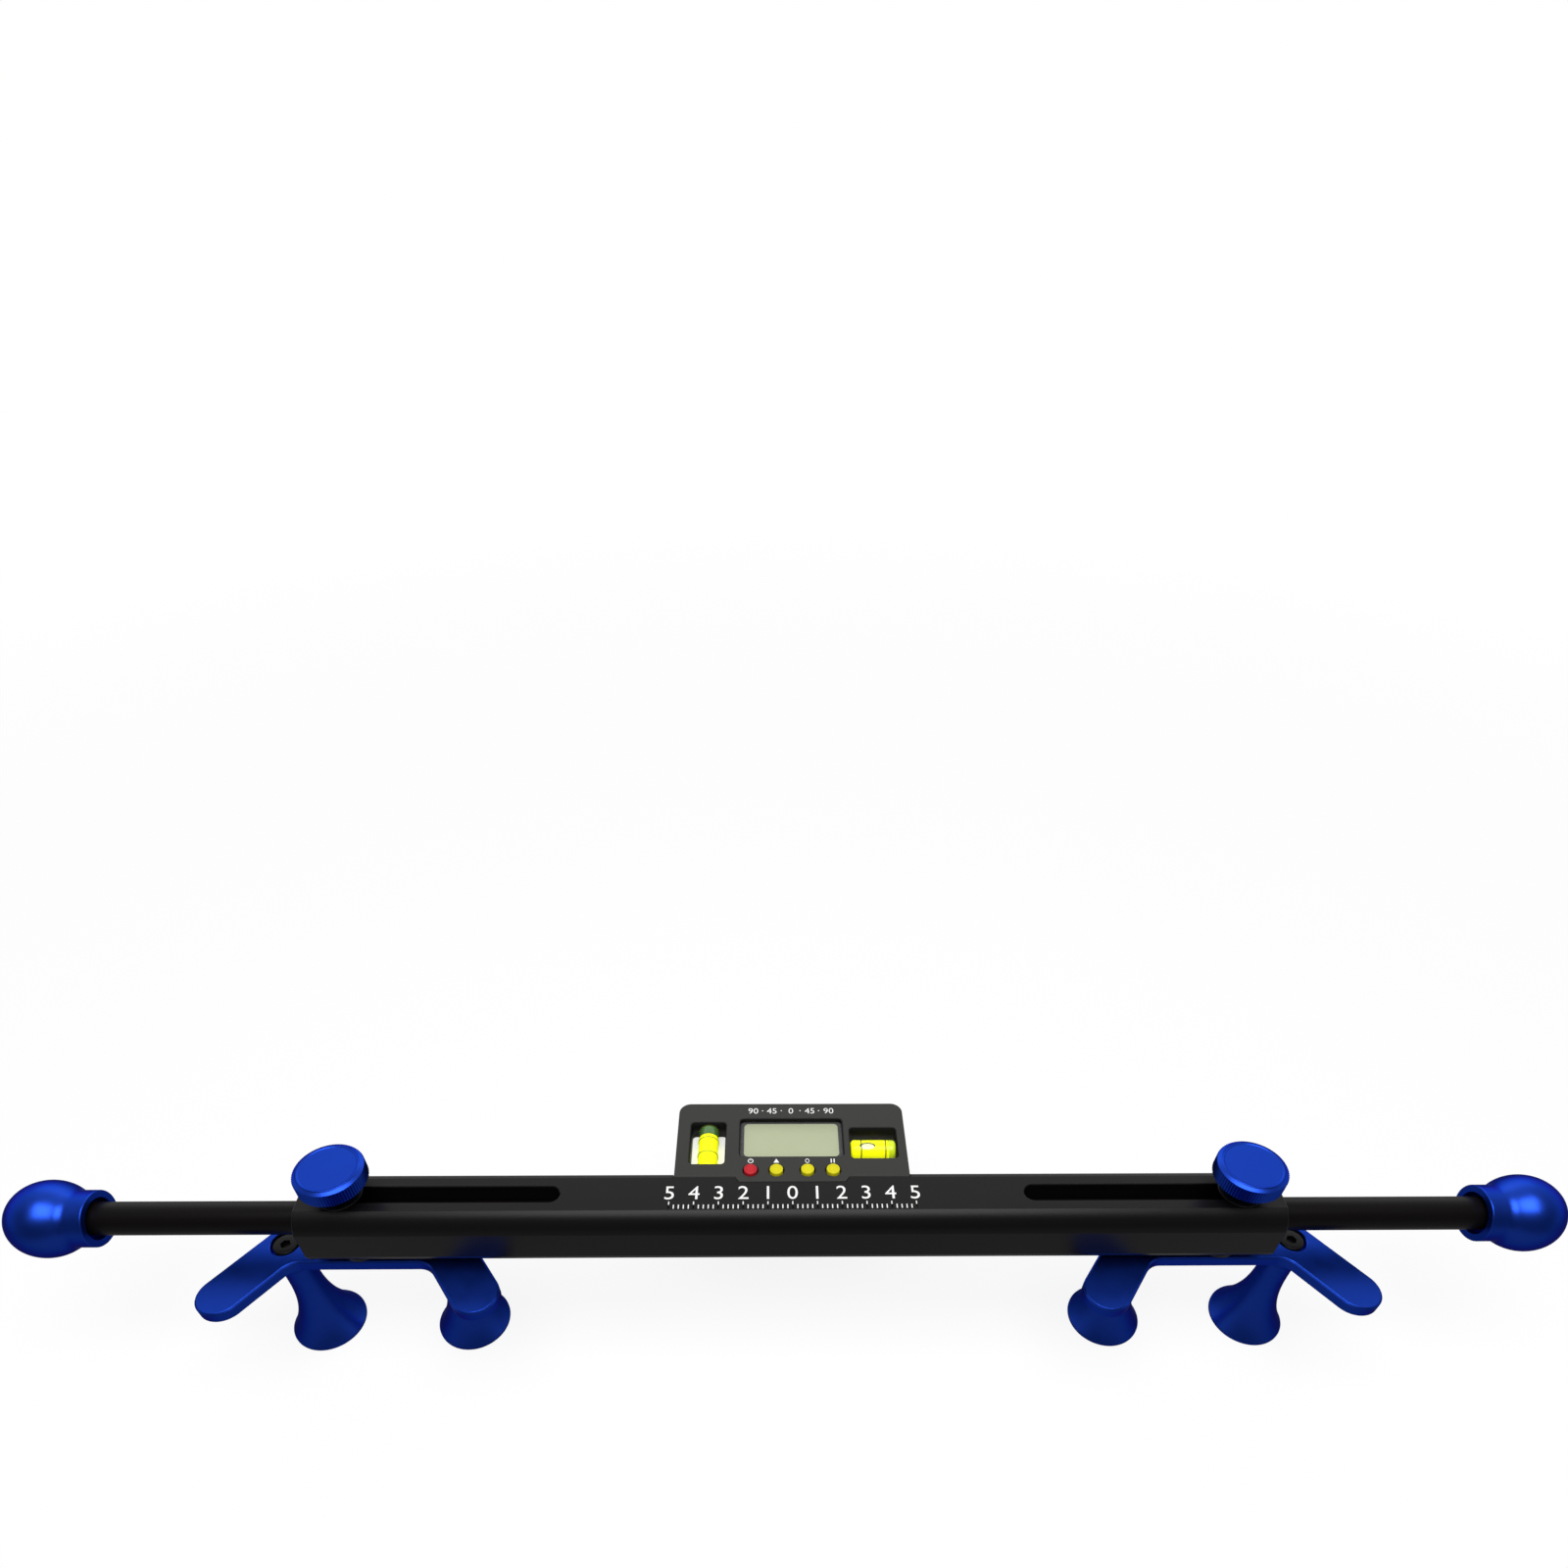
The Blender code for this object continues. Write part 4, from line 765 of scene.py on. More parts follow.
def flare_tree() -> ShapeTree:
    """Return a tree that shapes a flared trunk from a tube by the rule of its radius, for posts.

    Returns:
        The tree.
    """
    sizes = ("Mouth Radius", "Neck Radius", "Flare Height", "Height", "Power", "Pacing")
    tree = ShapeTree("flared_trunk", (*((label, "NodeSocketFloat") for label in sizes),
                                      ("Centre", "NodeSocketVector")))
    tube = tree.add("GeometryNodeMeshCylinder", Vertices=TURN_STEPS, Radius=1.0, Depth=1.0,
                    Side_Segments=TRUNK_SEGMENTS)
    place = tree.add("ShaderNodeSeparateXYZ", Vector=tree.add("GeometryNodeInputPosition").outputs[0])
    share = tree.math("POWER", tree.math("ADD", place.outputs["Z"], 0.5), tree.inputs["Pacing"])
    height = tree.math("MULTIPLY", share, tree.inputs["Height"])
    climb = tree.math("DIVIDE", height, tree.inputs["Flare Height"])
    fall = tree.math("MAXIMUM", tree.math("SUBTRACT", 1.0, climb))
    lean = tree.math("POWER", fall, tree.inputs["Power"])
    spread = tree.math("SUBTRACT", tree.inputs["Mouth Radius"], tree.inputs["Neck Radius"])
    radius = tree.math("ADD", tree.inputs["Neck Radius"], tree.math("MULTIPLY", spread, lean))
    target = tree.add("ShaderNodeCombineXYZ", X=tree.math("MULTIPLY", place.outputs["X"], radius),
                      Y=tree.math("MULTIPLY", place.outputs["Y"], radius), Z=height)
    shaped = tree.add("GeometryNodeSetPosition", Geometry=tube.outputs["Mesh"], Position=target.outputs[0])
    stood = tree.add("GeometryNodeTransform", Geometry=shaped.outputs["Geometry"],
                     Translation=tree.inputs["Centre"])
    tree.end(stood.outputs["Geometry"])
    return tree


@dataclass
class Workshop:
    """The Geometry Nodes trees that several pieces share."""

    bars: ShapeTree = field(default_factory=row_tree)
    copies: ShapeTree = field(default_factory=copies_tree)
    ridges: ShapeTree = field(default_factory=knurl_tree)
    flare: ShapeTree = field(default_factory=flare_tree)


def merged_meshes(name: str, meshes: Iterable[bpy.types.Mesh], finish: Finish) -> bpy.types.Object:
    """Make one object of several meshes of one finish.

    Args:
        name: The object's name.
        meshes: The meshes, which are used up.
        finish: Their finish.

    Returns:
        The object.
    """
    group = bmesh.new()
    for mesh in meshes:
        group.from_mesh(mesh)
        bpy.data.meshes.remove(mesh)
    for face in group.faces:
        face.material_index = 0
    return add_piece(name, group, finish)


def printed_text(words: str, size: float, place: Sequence[float]) -> bpy.types.Mesh:
    """Return thin raised characters, centred on a place and facing up.

    Args:
        words: The numbers or signs to print.
        size: The height of the type.
        place: The middle of the characters' foot, on the surface.

    Returns:
        The mesh, in place.
    """
    curve = bpy.data.curves.new("print", "FONT")
    curve.body = words
    curve.size = size
    curve.align_x = "CENTER"
    curve.extrude = PRINT_THICKNESS / 2
    curve.resolution_u = TYPE_RESOLUTION
    holder = add_object("print", curve)
    mesh = baked(holder)
    bpy.data.objects.remove(holder)
    mesh.transform(Matrix.Translation(Vector(place) + Vector((0, 0, PRINT_THICKNESS / 2))))
    return mesh


@dataclass
class Rail:
    """The slotted rail, with its bore, its pocket for the level and its printed scale."""

    shop: Workshop
    flat_width: float = 0.017
    shoulder_depth: float = 0.008
    shoulder_bulge: float = 0.0011
    corner_round: float = 0.0005
    end_round: float = 0.0006
    rim_chamfer: float = 0.00035
    slot_width: float = 0.008
    slot_run: float = 0.0844
    slot_outer_margin: float = 0.0006
    bore_clearance: float = 0.00008
    shoulder_steps: int = 12
    fillet_steps: int = 3
    slot_steps: int = 12
    scale_half: float = 0.050
    scale_step: float = 0.002
    scale_numbers: int = 5
    scale_margin: float = 0.0007
    tick_width: float = 0.00045
    short_tick: float = 0.0020
    long_tick: float = 0.0036
    number_rise: float = 0.0048
    number_size: float = 0.0098

    def __post_init__(self) -> None:
        """Read the rail's box and its axis from the frame."""
        self.low, self.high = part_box("rail_body")
        self.axis = middle_of("left_rod")
        self.knob_x = middle_of("right_knob").x

    def section(self, inset: float) -> Outline:
        """Return the rail's section in Y and Z about its axis, shrunk by an inset.

        Args:
            inset: How far the section is shrunk.

        Returns:
            The section's points.
        """
        half_width = (self.high.y - self.low.y) / 2
        half_depth = (self.high.z - self.low.z) / 2
        chord = Vector((half_width - self.flat_width / 2, -self.shoulder_depth))
        outward = Vector((-chord.y, chord.x)).normalized()
        start = Vector((self.flat_width / 2, half_depth))
        count = self.shoulder_steps
        shoulder = []
        for step in range(count + 1):
            share = step / count
            point = start + chord * share + outward * self.shoulder_bulge * 4 * share * (1 - share)
            shoulder.append((point.x, point.y, self.corner_round if step in (0, count) else 0.0))
        ring = shoulder + [(y, -z, r) for y, z, r in reversed(shoulder)]
        ring += [(-y, -z, r) for y, z, r in shoulder] + [(-y, z, r) for y, z, r in reversed(shoulder)]
        scale_y = (half_width - inset) / half_width
        scale_z = (half_depth - inset) / half_depth
        return [(y * scale_y, z * scale_z) for y, z in rounded(ring, self.fillet_steps)]

    def slot_outline(self, side: int, grow: float) -> Outline:
        """Return the outline of one slot, grown all round.

        Args:
            side: The slot's side along X, -1 or 1.
            grow: How far it is grown.

        Returns:
            The outline in X and Y.
        """
        ends = sorted((side * (self.knob_x - self.slot_run), side * (self.knob_x + self.slot_outer_margin)))
        half = self.slot_width / 2 + grow
        corners = [(ends[0] - half, -half, half), (ends[1] + half, -half, half),
                   (ends[1] + half, half, half), (ends[0] - half, half, half)]
        return [(x, y + self.axis.y) for x, y in rounded(corners, self.slot_steps)]

    def build(self) -> None:
        """Build the rail and its print."""
        stations = [(self.high.x - drop, inset)
                    for drop, inset in quarter_round(self.end_round, self.fillet_steps)]
        stations += [(-x, inset) for x, inset in stations]
        rings = [[(x, self.axis.y + y, self.axis.z + z) for y, z in self.section(inset)]
                 for x, inset in sorted(stations)]
        rail = add_piece("rail", lofted(rings), RAIL_BLACK)
        self.cut_bore(rail)
        for side in (-1, 1):
            carve(rail, self.slot_cutter(side))
        self.cut_pocket(rail)
        even_shading(rail)
        settle(rail, "rail", "black_anodised", "rail_body")
        self.print_scale()

    def cut_bore(self, rail: bpy.types.Object) -> None:
        """Cut the bore, with a small chamfer at each end.

        Args:
            rail: The rail to cut.
        """
        rod_low, rod_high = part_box("left_rod")
        radius = (rod_high.z - rod_low.z) / 2 + self.bore_clearance
        half = self.high.x
        wide = radius + self.rim_chamfer + OVERRUN
        profile = [(0, -half - OVERRUN), (wide, -half - OVERRUN), (radius, self.rim_chamfer - half),
                   (radius, half - self.rim_chamfer), (wide, half + OVERRUN), (0, half + OVERRUN)]
        carve(rail, placed(turned(profile), (0, self.axis.y, self.axis.z), ALONG_X))

    def slot_cutter(self, side: int) -> BMesh:
        """Return the cutter of one slot, with chamfered rims at the front and the rear.

        Args:
            side: The slot's side along X, -1 or 1.

        Returns:
            The cutter.
        """
        wide = self.rim_chamfer + OVERRUN
        heights = ((self.low.z - OVERRUN, wide), (self.low.z + self.rim_chamfer, 0.0),
                   (self.high.z - self.rim_chamfer, 0.0), (self.high.z + OVERRUN, wide))
        return lofted([[(x, y, z) for x, y in self.slot_outline(side, grow)] for z, grow in heights])

    def cut_pocket(self, rail: bpy.types.Object) -> None:
        """Cut the pocket that holds the level, the notch of its tab and the mounting screws' holes.

        Args:
            rail: The rail to cut.
        """
        case_low, case_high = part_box("level_rear_case")
        floor = self.axis.y + self.flat_width / 2
        near_half = case_high.x + SEAT_GAP
        far_half = near_half - LevelCase.side_draft
        ceiling = self.high.y + OVERRUN
        levels = ((case_low.z - SEAT_GAP, near_half), (self.high.z, far_half),
                  (self.high.z + OVERRUN, far_half))
        carve(rail, lofted([[(-half, floor, z), (half, floor, z), (half, ceiling, z), (-half, ceiling, z)]
                            for z, half in levels]))
        tab = LevelCase.tab_corners(SEAT_GAP)
        carve(rail, prism(tab, self.high.z - LevelCase.front_wall - SEAT_GAP, self.high.z + OVERRUN))
        for hole in MountingScrews.holes(self.low.z, case_low.z):
            carve(rail, hole)

    def print_scale(self) -> None:
        """Print a plain scale with numbers on the rail's front, in the middle."""
        front = self.high.z + PRINT_THICKNESS / 2
        foot = self.axis.y - self.flat_width / 2 + self.scale_margin
        number_step = self.scale_half / self.scale_numbers
        meshes = []
        for spacing, length in ((self.scale_step, self.short_tick), (number_step, self.long_tick)):
            count = round(2 * self.scale_half / spacing) + 1
            meshes.append(self.shop.bars.mesh(
                PRINT_WHITE, Count=count, Start=(-self.scale_half, foot + length / 2, front),
                Step=(spacing, 0, 0), Size=(self.tick_width, length, PRINT_THICKNESS)))
        for number in range(-self.scale_numbers, self.scale_numbers + 1):
            place = (number * number_step, foot + self.number_rise, self.high.z)
            meshes.append(printed_text(str(abs(number)), self.number_size, place))
        scale = merged_meshes("rail_scale", meshes, PRINT_WHITE)
        settle(scale, "rail", "white_plastic")


@dataclass
class Window:
    """One opening in the level's front."""

    middle: Point
    width: float
    height: float
    radius: float = 0.002

    def outline(self, grow: float = 0.0) -> Outline:
        """Return the opening's outline, grown all round."""
        return rectangle(self.middle, self.width + 2 * grow, self.height + 2 * grow, self.radius + grow)


@dataclass
class LevelCase:
    """The digital level's two shells, with their windows, tab, wells and back."""

    front_wall: float = 0.002
    wall: float = 0.0016
    back_wall: float = 0.0034
    depth_front: float = 0.008
    top_radius: float = 0.005
    bottom_radius: float = 0.0006
    front_round: float = 0.0009
    back_round: float = 0.0008
    round_steps: int = 5
    corner_steps: int = 8
    side_draft: float = 0.0015
    top_draft: float = 0.0038
    tab_depth: float = 0.0024
    tab_slant: float = 0.0016
    rim_chamfer: float = 0.00030
    well_wall: float = 0.0009
    display_ledge: float = 0.001

    def __post_init__(self) -> None:
        """Read the shells' boxes from the frame."""
        self.front_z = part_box("level_front_case")[1].z
        self.back_low, self.back_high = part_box("level_rear_case")
        self.depth = self.front_z - self.back_low.z
        self.bottom_y = self.back_low.y
        self.back_width = self.back_high.x - self.back_low.x
        self.back_height = self.back_high.y - self.back_low.y

    @staticmethod
    def tab_corners(grow: float = 0.0) -> Outline:
        """Return the button tab's outline, or its notch's when grown by a gap.

        Args:
            grow: The gap all round.

        Returns:
            The outline in X and Y.
        """
        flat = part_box("level_rear_case")[0].y - SEAT_GAP
        top = flat + SEAT_GAP + LevelCase.wall
        low = flat - LevelCase.tab_depth - grow
        board_low, board_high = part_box("circuit_board")
        half = (board_high.x - board_low.x) / 2 + grow
        slant = LevelCase.tab_slant
        return [(slant - half, low), (half - slant, low), (half, flat),
                (half, top), (-half, top), (-half, flat)]

    def outline(self, depth: float, inset: float) -> Outline:
        """Return the case's outline at a depth behind its front, which grows towards the back.

        Args:
            depth: The depth behind the front.
            inset: How far the outline is shrunk.

        Returns:
            The outline in X and Y.
        """
        share = depth / self.depth
        width = self.back_width - 2 * self.side_draft * (1 - share) - 2 * inset
        low = self.bottom_y + inset
        high = self.bottom_y + self.back_height - self.top_draft * (1 - share) - inset
        bottom = max(self.bottom_radius - inset, SEAT_GAP)
        top = max(self.top_radius - inset, SEAT_GAP)
        return rounded([(-width / 2, low, bottom), (width / 2, low, bottom),
                        (width / 2, high, top), (-width / 2, high, top)], self.corner_steps)

    def ring(self, depth: float, inset: float) -> list[tuple[float, float, float]]:
        """Return the case's outline as a ring of points at a depth."""
        return [(x, y, self.front_z - depth) for x, y in self.outline(depth, inset)]

    def windows(self) -> dict[str, Window]:
        """Return the display's opening and the two vials' openings.

        Returns:
            The openings by name.
        """
        clear_low, clear_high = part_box("display_window")
        middle = (clear_low + clear_high) / 2
        size = clear_high - clear_low
        made = {"display": Window((middle.x, middle.y), size.x - 2 * self.display_ledge,
                                  size.y - 2 * self.display_ledge)}
        for name in ("upright", "level"):
            low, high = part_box(f"{name}_vial_backing")
            middle = (low + high) / 2
            made[name] = Window((middle.x, middle.y), high.x - low.x, high.y - low.y)
        return made

    def build(self) -> None:
        """Build both shells."""
        self.build_front()
        self.build_rear()

    def build_front(self) -> None:
        """Build the front shell."""
        rings = [self.ring(drop, inset) for drop, inset in quarter_round(self.front_round, self.round_steps)]
        rings += [self.ring(self.depth_front - self.rim_chamfer, 0.0),
                  self.ring(self.depth_front, self.rim_chamfer)]
        shell = add_piece("level_front", lofted(rings), CASE_GREY)
        carve(shell, lofted([self.ring(self.front_wall, self.wall),
                             self.ring(self.depth_front + OVERRUN, self.wall)]))
        carve(shell, prism(self.tab_corners(), self.front_z - self.front_wall, self.front_z), "UNION")
        inside = self.front_z - self.front_wall
        windows = self.windows()
        for name in ("upright", "level"):
            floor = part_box(f"{name}_vial_backing")[1].z + SEAT_GAP
            well = prism(windows[name].outline(self.well_wall), floor, inside + self.front_wall / 2)
            carve(shell, well, "UNION")
        for name, window in windows.items():
            floor = inside if name == "display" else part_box(f"{name}_vial_backing")[1].z
            carve(shell, self.window_cutter(window, floor - OVERRUN))
        for name in Buttons.names:
            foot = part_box(name)[0].z - OVERRUN
            middle = Buttons.middle(name)
            radius = Buttons.radius + Buttons.moat
            profile = [(0, foot), (radius, foot), (radius, self.front_z - self.rim_chamfer),
                       (radius + self.rim_chamfer + OVERRUN, self.front_z + OVERRUN),
                       (0, self.front_z + OVERRUN)]
            carve(shell, placed(turned(profile, SMALL_TURN_STEPS), (middle.x, middle.y, 0)))
        even_shading(shell)
        settle(shell, "rail", "grey_plastic", "level_front_case")

    def window_cutter(self, window: Window, floor: float) -> BMesh:
        """Return the cutter of one opening, with a chamfered rim.

        Args:
            window: The opening.
            floor: The cutter's lower end.

        Returns:
            The cutter.
        """
        levels = ((floor, 0.0), (self.front_z - self.rim_chamfer, 0.0),
                  (self.front_z + OVERRUN, self.rim_chamfer + OVERRUN))
        return lofted([[(x, y, z) for x, y in window.outline(grow)] for z, grow in levels])

    def build_rear(self) -> None:
        """Build the rear shell, with the groove of the battery cover and the case screws' seats."""
        near = self.front_z - self.back_high.z
        rings = [self.ring(near, self.rim_chamfer), self.ring(near + self.rim_chamfer, 0.0)]
        rings += [self.ring(self.depth - drop, inset)
                  for inset, drop in quarter_round(self.back_round, self.round_steps)]
        shell = add_piece("level_rear", lofted(rings), CASE_GREY)
        carve(shell, lofted([self.ring(near - OVERRUN, self.wall),
                             self.ring(self.depth - self.back_wall, self.wall)]))
        cover = BatteryCover()
        carve(shell, cover.solid(SEAT_GAP, OVERRUN))
        for hole in CaseScrews.holes(self.back_low.z, self.back_low.z + self.back_wall):
            carve(shell, hole)
        even_shading(shell)
        settle(shell, "rail", "grey_plastic", "level_rear_case")


@dataclass
class BatteryCover:
    """The sliding cover in the level's back, with grip ribs and an arrow."""

    pad_thickness: float = 0.0015
    tongue_reach: float = 0.0012
    rib_count: int = 7
    rib_pitch: float = 0.0021
    rib_length: float = 0.015
    rib_width: float = 0.001
    rib_depth: float = 0.0006
    rib_margin: float = 0.006
    arrow_gap: float = 0.0065
    arrow_length: float = 0.005
    arrow_half: float = 0.004
    arrow_depth: float = 0.0004

    def __post_init__(self) -> None:
        """Read the cover's box from the frame."""
        self.low, self.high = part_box("battery_cover")

    def profile(self, grow: float, overrun: float) -> Outline:
        """Return the cover's T section in X and Z.

        Args:
            grow: How far the section is grown.
            overrun: How far it passes the case's back.

        Returns:
            The section's points.
        """
        tongue = self.high.x + grow
        pad = self.high.x - self.tongue_reach + grow
        outside = self.low.z - overrun
        shoulder = self.low.z + self.pad_thickness - grow
        inside = self.high.z + grow
        return [(-pad, outside), (pad, outside), (pad, shoulder), (tongue, shoulder), (tongue, inside),
                (-tongue, inside), (-tongue, shoulder), (-pad, shoulder)]

    def solid(self, grow: float = 0.0, overrun: float = 0.0) -> BMesh:
        """Return the cover's solid, or its groove's when grown by a gap."""
        ends = (self.low.y - grow, self.high.y + overrun)
        return lofted([[(x, y, z) for x, z in self.profile(grow, overrun)] for y in ends])

    def build(self, shop: Workshop) -> None:
        """Build the cover with its ribs and arrow sunk below the case's back.

        Args:
            shop: The shared Geometry Nodes trees.
        """
        cover = add_piece("battery_cover_plate", self.solid(), CASE_GREY)
        first = self.low.y + self.rib_margin
        height = self.rib_depth + OVERRUN
        ribs = shop.bars.mesh(
            CASE_GREY, Count=self.rib_count, Start=(0, first, self.low.z + self.rib_depth - height / 2),
            Step=(0, self.rib_pitch, 0), Size=(self.rib_length, self.rib_width, height))
        carve(cover, solid_of(ribs))
        tip = first + self.rib_pitch * self.rib_count + self.arrow_gap
        arrow = [(0.0, tip), (-self.arrow_half, tip - self.arrow_length),
                 (self.arrow_half, tip - self.arrow_length)]
        carve(cover, prism(arrow, self.low.z - OVERRUN, self.low.z + self.arrow_depth))
        even_shading(cover)
        settle(cover, "battery_cover", "grey_plastic", "battery_cover")


@dataclass
class ScrewSet:
    """Screws of one kind that share a body, each copied from one part."""

    shop: Workshop
    dome_share: ClassVar[float] = 0.45
    crown_share: ClassVar[float] = 0.55
    crown_round: ClassVar[float] = 0.3
    rim_round: ClassVar[float] = 0.12
    cross_reach: ClassVar[float] = 0.62
    cross_half: ClassVar[float] = 0.13
    cross_floor: ClassVar[float] = 0.35
    cap_round: ClassVar[float] = 0.08
    foot_round: ClassVar[float] = 0.2
    socket_floor: ClassVar[float] = 0.4

    def place_rows(self, name: str, part: BMesh, rows: Sequence[tuple[Vector, Vector, int]],
                   body: str, slot: str, nodes: Sequence[str]) -> None:
        """Copy a screw along rows and settle the set as one piece.

        Args:
            name: The set's name.
            part: The screw's solid about the origin.
            rows: Each row's first place, its step and its count.
            body: The body that the screws ride on.
            slot: The record's material slot.
            nodes: The CAD screws that the set stands for.
        """
        master = add_piece(f"{name}_master", part, BLACK_OXIDE)
        meshes = [self.shop.copies.mesh(BLACK_OXIDE, Part=master, Count=count, Start=tuple(start),
                                        Step=tuple(step))
                  for start, step, count in rows]
        bpy.data.meshes.remove(master.data)
        settle(merged_meshes(name, meshes, BLACK_OXIDE), body, slot, *nodes)

    @classmethod
    def cross_screw(cls, head: float, head_height: float, shank: float, length: float) -> BMesh:
        """Return a round-headed screw about Z with a cross recess, its head's top facing down.

        Args:
            head: The head's radius.
            head_height: The head's height, below zero.
            shank: The shank's radius.
            length: The shank's length, above zero.

        Returns:
            The solid.
        """
        dome = head_height * cls.dome_share
        crown = head * cls.crown_share
        profile = rounded([(0, -head_height, 0), (crown, -head_height, head * cls.crown_round),
                           (head, -head_height + dome, head * cls.rim_round), (head, 0, 0), (shank, 0, 0),
                           (shank, length - shank / 2, 0), (shank / 2, length, 0), (0, length, 0)],
                          SMALL_FILLET_STEPS, closed=False)
        screw = add_piece("screw", turned(profile, SMALL_TURN_STEPS), BLACK_OXIDE)
        long_half, short_half = head * cls.cross_reach, head * cls.cross_half
        for reach_x, reach_y in ((long_half, short_half), (short_half, long_half)):
            carve(screw, box_solid((-reach_x, -reach_y, -head_height - OVERRUN),
                                   (reach_x, reach_y, -head_height * cls.cross_floor)))
        return solid_of(screw.data)

    @classmethod
    def socket_screw(cls, head: float, head_height: float, shank: float, length: float,
                     socket: float) -> BMesh:
        """Return a cap screw about Z with a hexagonal socket, its head from zero up.

        Args:
            head: The head's radius.
            head_height: The head's height.
            shank: The shank's radius.
            length: The shank's length, below zero.
            socket: The socket's width across its flats.

        Returns:
            The solid.
        """
        profile = rounded([(0, -length, 0), (shank, -length, shank * cls.foot_round), (shank, 0, 0),
                           (head, 0, 0), (head, head_height, head * cls.cap_round), (0, head_height, 0)],
                          SMALL_FILLET_STEPS, closed=False)
        screw = add_piece("screw", turned(profile, SMALL_TURN_STEPS), BLACK_OXIDE)
        corner = socket / math.sqrt(3)
        floor = head_height * cls.socket_floor
        top = head_height + OVERRUN
        carve(screw, turned([(0, floor), (corner, floor), (corner, top), (0, top)], 6))
        return solid_of(screw.data)


@dataclass
class CaseScrews(ScrewSet):
    """The four screws that close the level's case."""

    label: str = "case_screws"
    names: tuple[str, ...] = ("lower_left_case_screw", "lower_right_case_screw", "upper_left_case_screw",
                              "upper_right_case_screw")
    head_height: float = 0.0014
    shank_radius: float = 0.0010

    def build(self) -> None:
        """Build the screws, a pair in each row."""
        low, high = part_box(self.names[0])
        seat = low.z + self.head_height
        part = self.cross_screw((high.x - low.x) / 2, self.head_height, self.shank_radius, high.z - seat)
        rows = []
        for left, right in zip(self.names[::2], self.names[1::2]):
            middle = middle_of(left)
            step = Vector((middle_of(right).x - middle.x, 0, 0))
            rows.append((Vector((middle.x, middle.y, seat)), step, 2))
        self.place_rows(self.label, part, rows, "rail", "black_steel", self.names)

    @classmethod
    def holes(cls, outside: float, inside: float) -> list[BMesh]:
        """Return the cutters of the screws' holes, wide up to each head's seat and narrow beyond it.

        Args:
            outside: The height of the face that the heads sink into.
            inside: The height of the wall's other face.

        Returns:
            The cutters in place.
        """
        foot, top = outside - OVERRUN, inside + OVERRUN
        narrow = cls.shank_radius + SEAT_GAP
        cutters = []
        for name in cls.names:
            low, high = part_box(name)
            middle = middle_of(name)
            wide = (high.x - low.x) / 2 + SEAT_GAP
            seat = low.z + cls.head_height + SEAT_GAP
            profile = [(0, foot), (wide, foot), (wide, seat), (narrow, seat), (narrow, top), (0, top)]
            cutters.append(placed(turned(profile, SMALL_TURN_STEPS), (middle.x, middle.y, 0)))
        return cutters


@dataclass
class MountingScrews(CaseScrews):
    """The two screws that hold the level to the rail."""

    label: str = "mounting_screws"
    names: tuple[str, ...] = ("left_mounting_screw", "right_mounting_screw")
    head_height: float = 0.0020
    shank_radius: float = 0.0015


@dataclass
class Display:
    """The level's display, with its black bezel and clear window, and painted shade: a thin dark sleeve on
    the walls of every opening.
    """

    bezel_thickness: float = 0.0004
    bezel_side: float = 0.0019
    bezel_top: float = 0.0002
    bezel_bottom: float = 0.0028
    corner: float = 0.0020
    liner_gap: float = 0.00005
    liner_wall: float = 0.00035
    liner_drop: float = 0.0005

    def build(self) -> None:
        """Build the display's layers and the openings' painted shade sleeves."""
        case = LevelCase()
        window = case.windows()["display"]
        low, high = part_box("lcd_panel")
        face = high.z - self.bezel_thickness / 2
        panel = add_piece("display_panel", prism(window.outline(self.liner_gap), low.z, face), LCD_GREEN)
        settle(panel, "rail", "lcd_glass", "lcd_panel")
        bezel = add_piece("display_bezel", prism(window.outline(self.liner_gap), face + self.liner_gap,
                                                 high.z + self.bezel_thickness / 2), CASE_BLACK)
        middle = (window.middle[0], window.middle[1] + (self.bezel_bottom - self.bezel_top) / 2)
        clear_part = rectangle(middle, window.width - 2 * self.bezel_side,
                               window.height - self.bezel_top - self.bezel_bottom, self.corner)
        carve(bezel, prism(clear_part, low.z, high.z + OVERRUN))
        settle(bezel, "rail", "grey_plastic")
        clear_low, clear_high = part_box("display_window")
        size = clear_high - clear_low
        outline = rectangle(window.middle, size.x, size.y, self.corner)
        clear = add_piece("display_glass", prism(outline, clear_low.z, clear_high.z), COVER_CLEAR)
        settle(clear, "rail", "clear_plastic", "display_window")
        # Painted shade: dark sleeves darken the walls of the display's and both vials' openings, where shade
        # falls.
        self.line("display", window, clear_high.z + self.liner_gap, case.front_z)
        for name in ("upright", "level"):
            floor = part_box(f"{name}_vial_backing")[1].z
            self.line(f"{name}_vial", case.windows()[name], floor + SEAT_GAP, case.front_z)

    def line(self, name: str, window: Window, floor: float, front: float) -> None:
        """Paint shade on one opening's walls with a thin dark sleeve.

        Args:
            name: The opening's name.
            window: The opening.
            floor: The sleeve's lower end.
            front: The height of the level's front.
        """
        sleeve = prism(window.outline(-self.liner_gap), floor, front - self.liner_drop)
        painted_shade_sleeve = add_piece(f"{name}_lining", sleeve, CASE_BLACK)
        carve(painted_shade_sleeve, prism(window.outline(-self.liner_wall), floor - OVERRUN, front + OVERRUN))
        settle(painted_shade_sleeve, "rail", "grey_plastic")


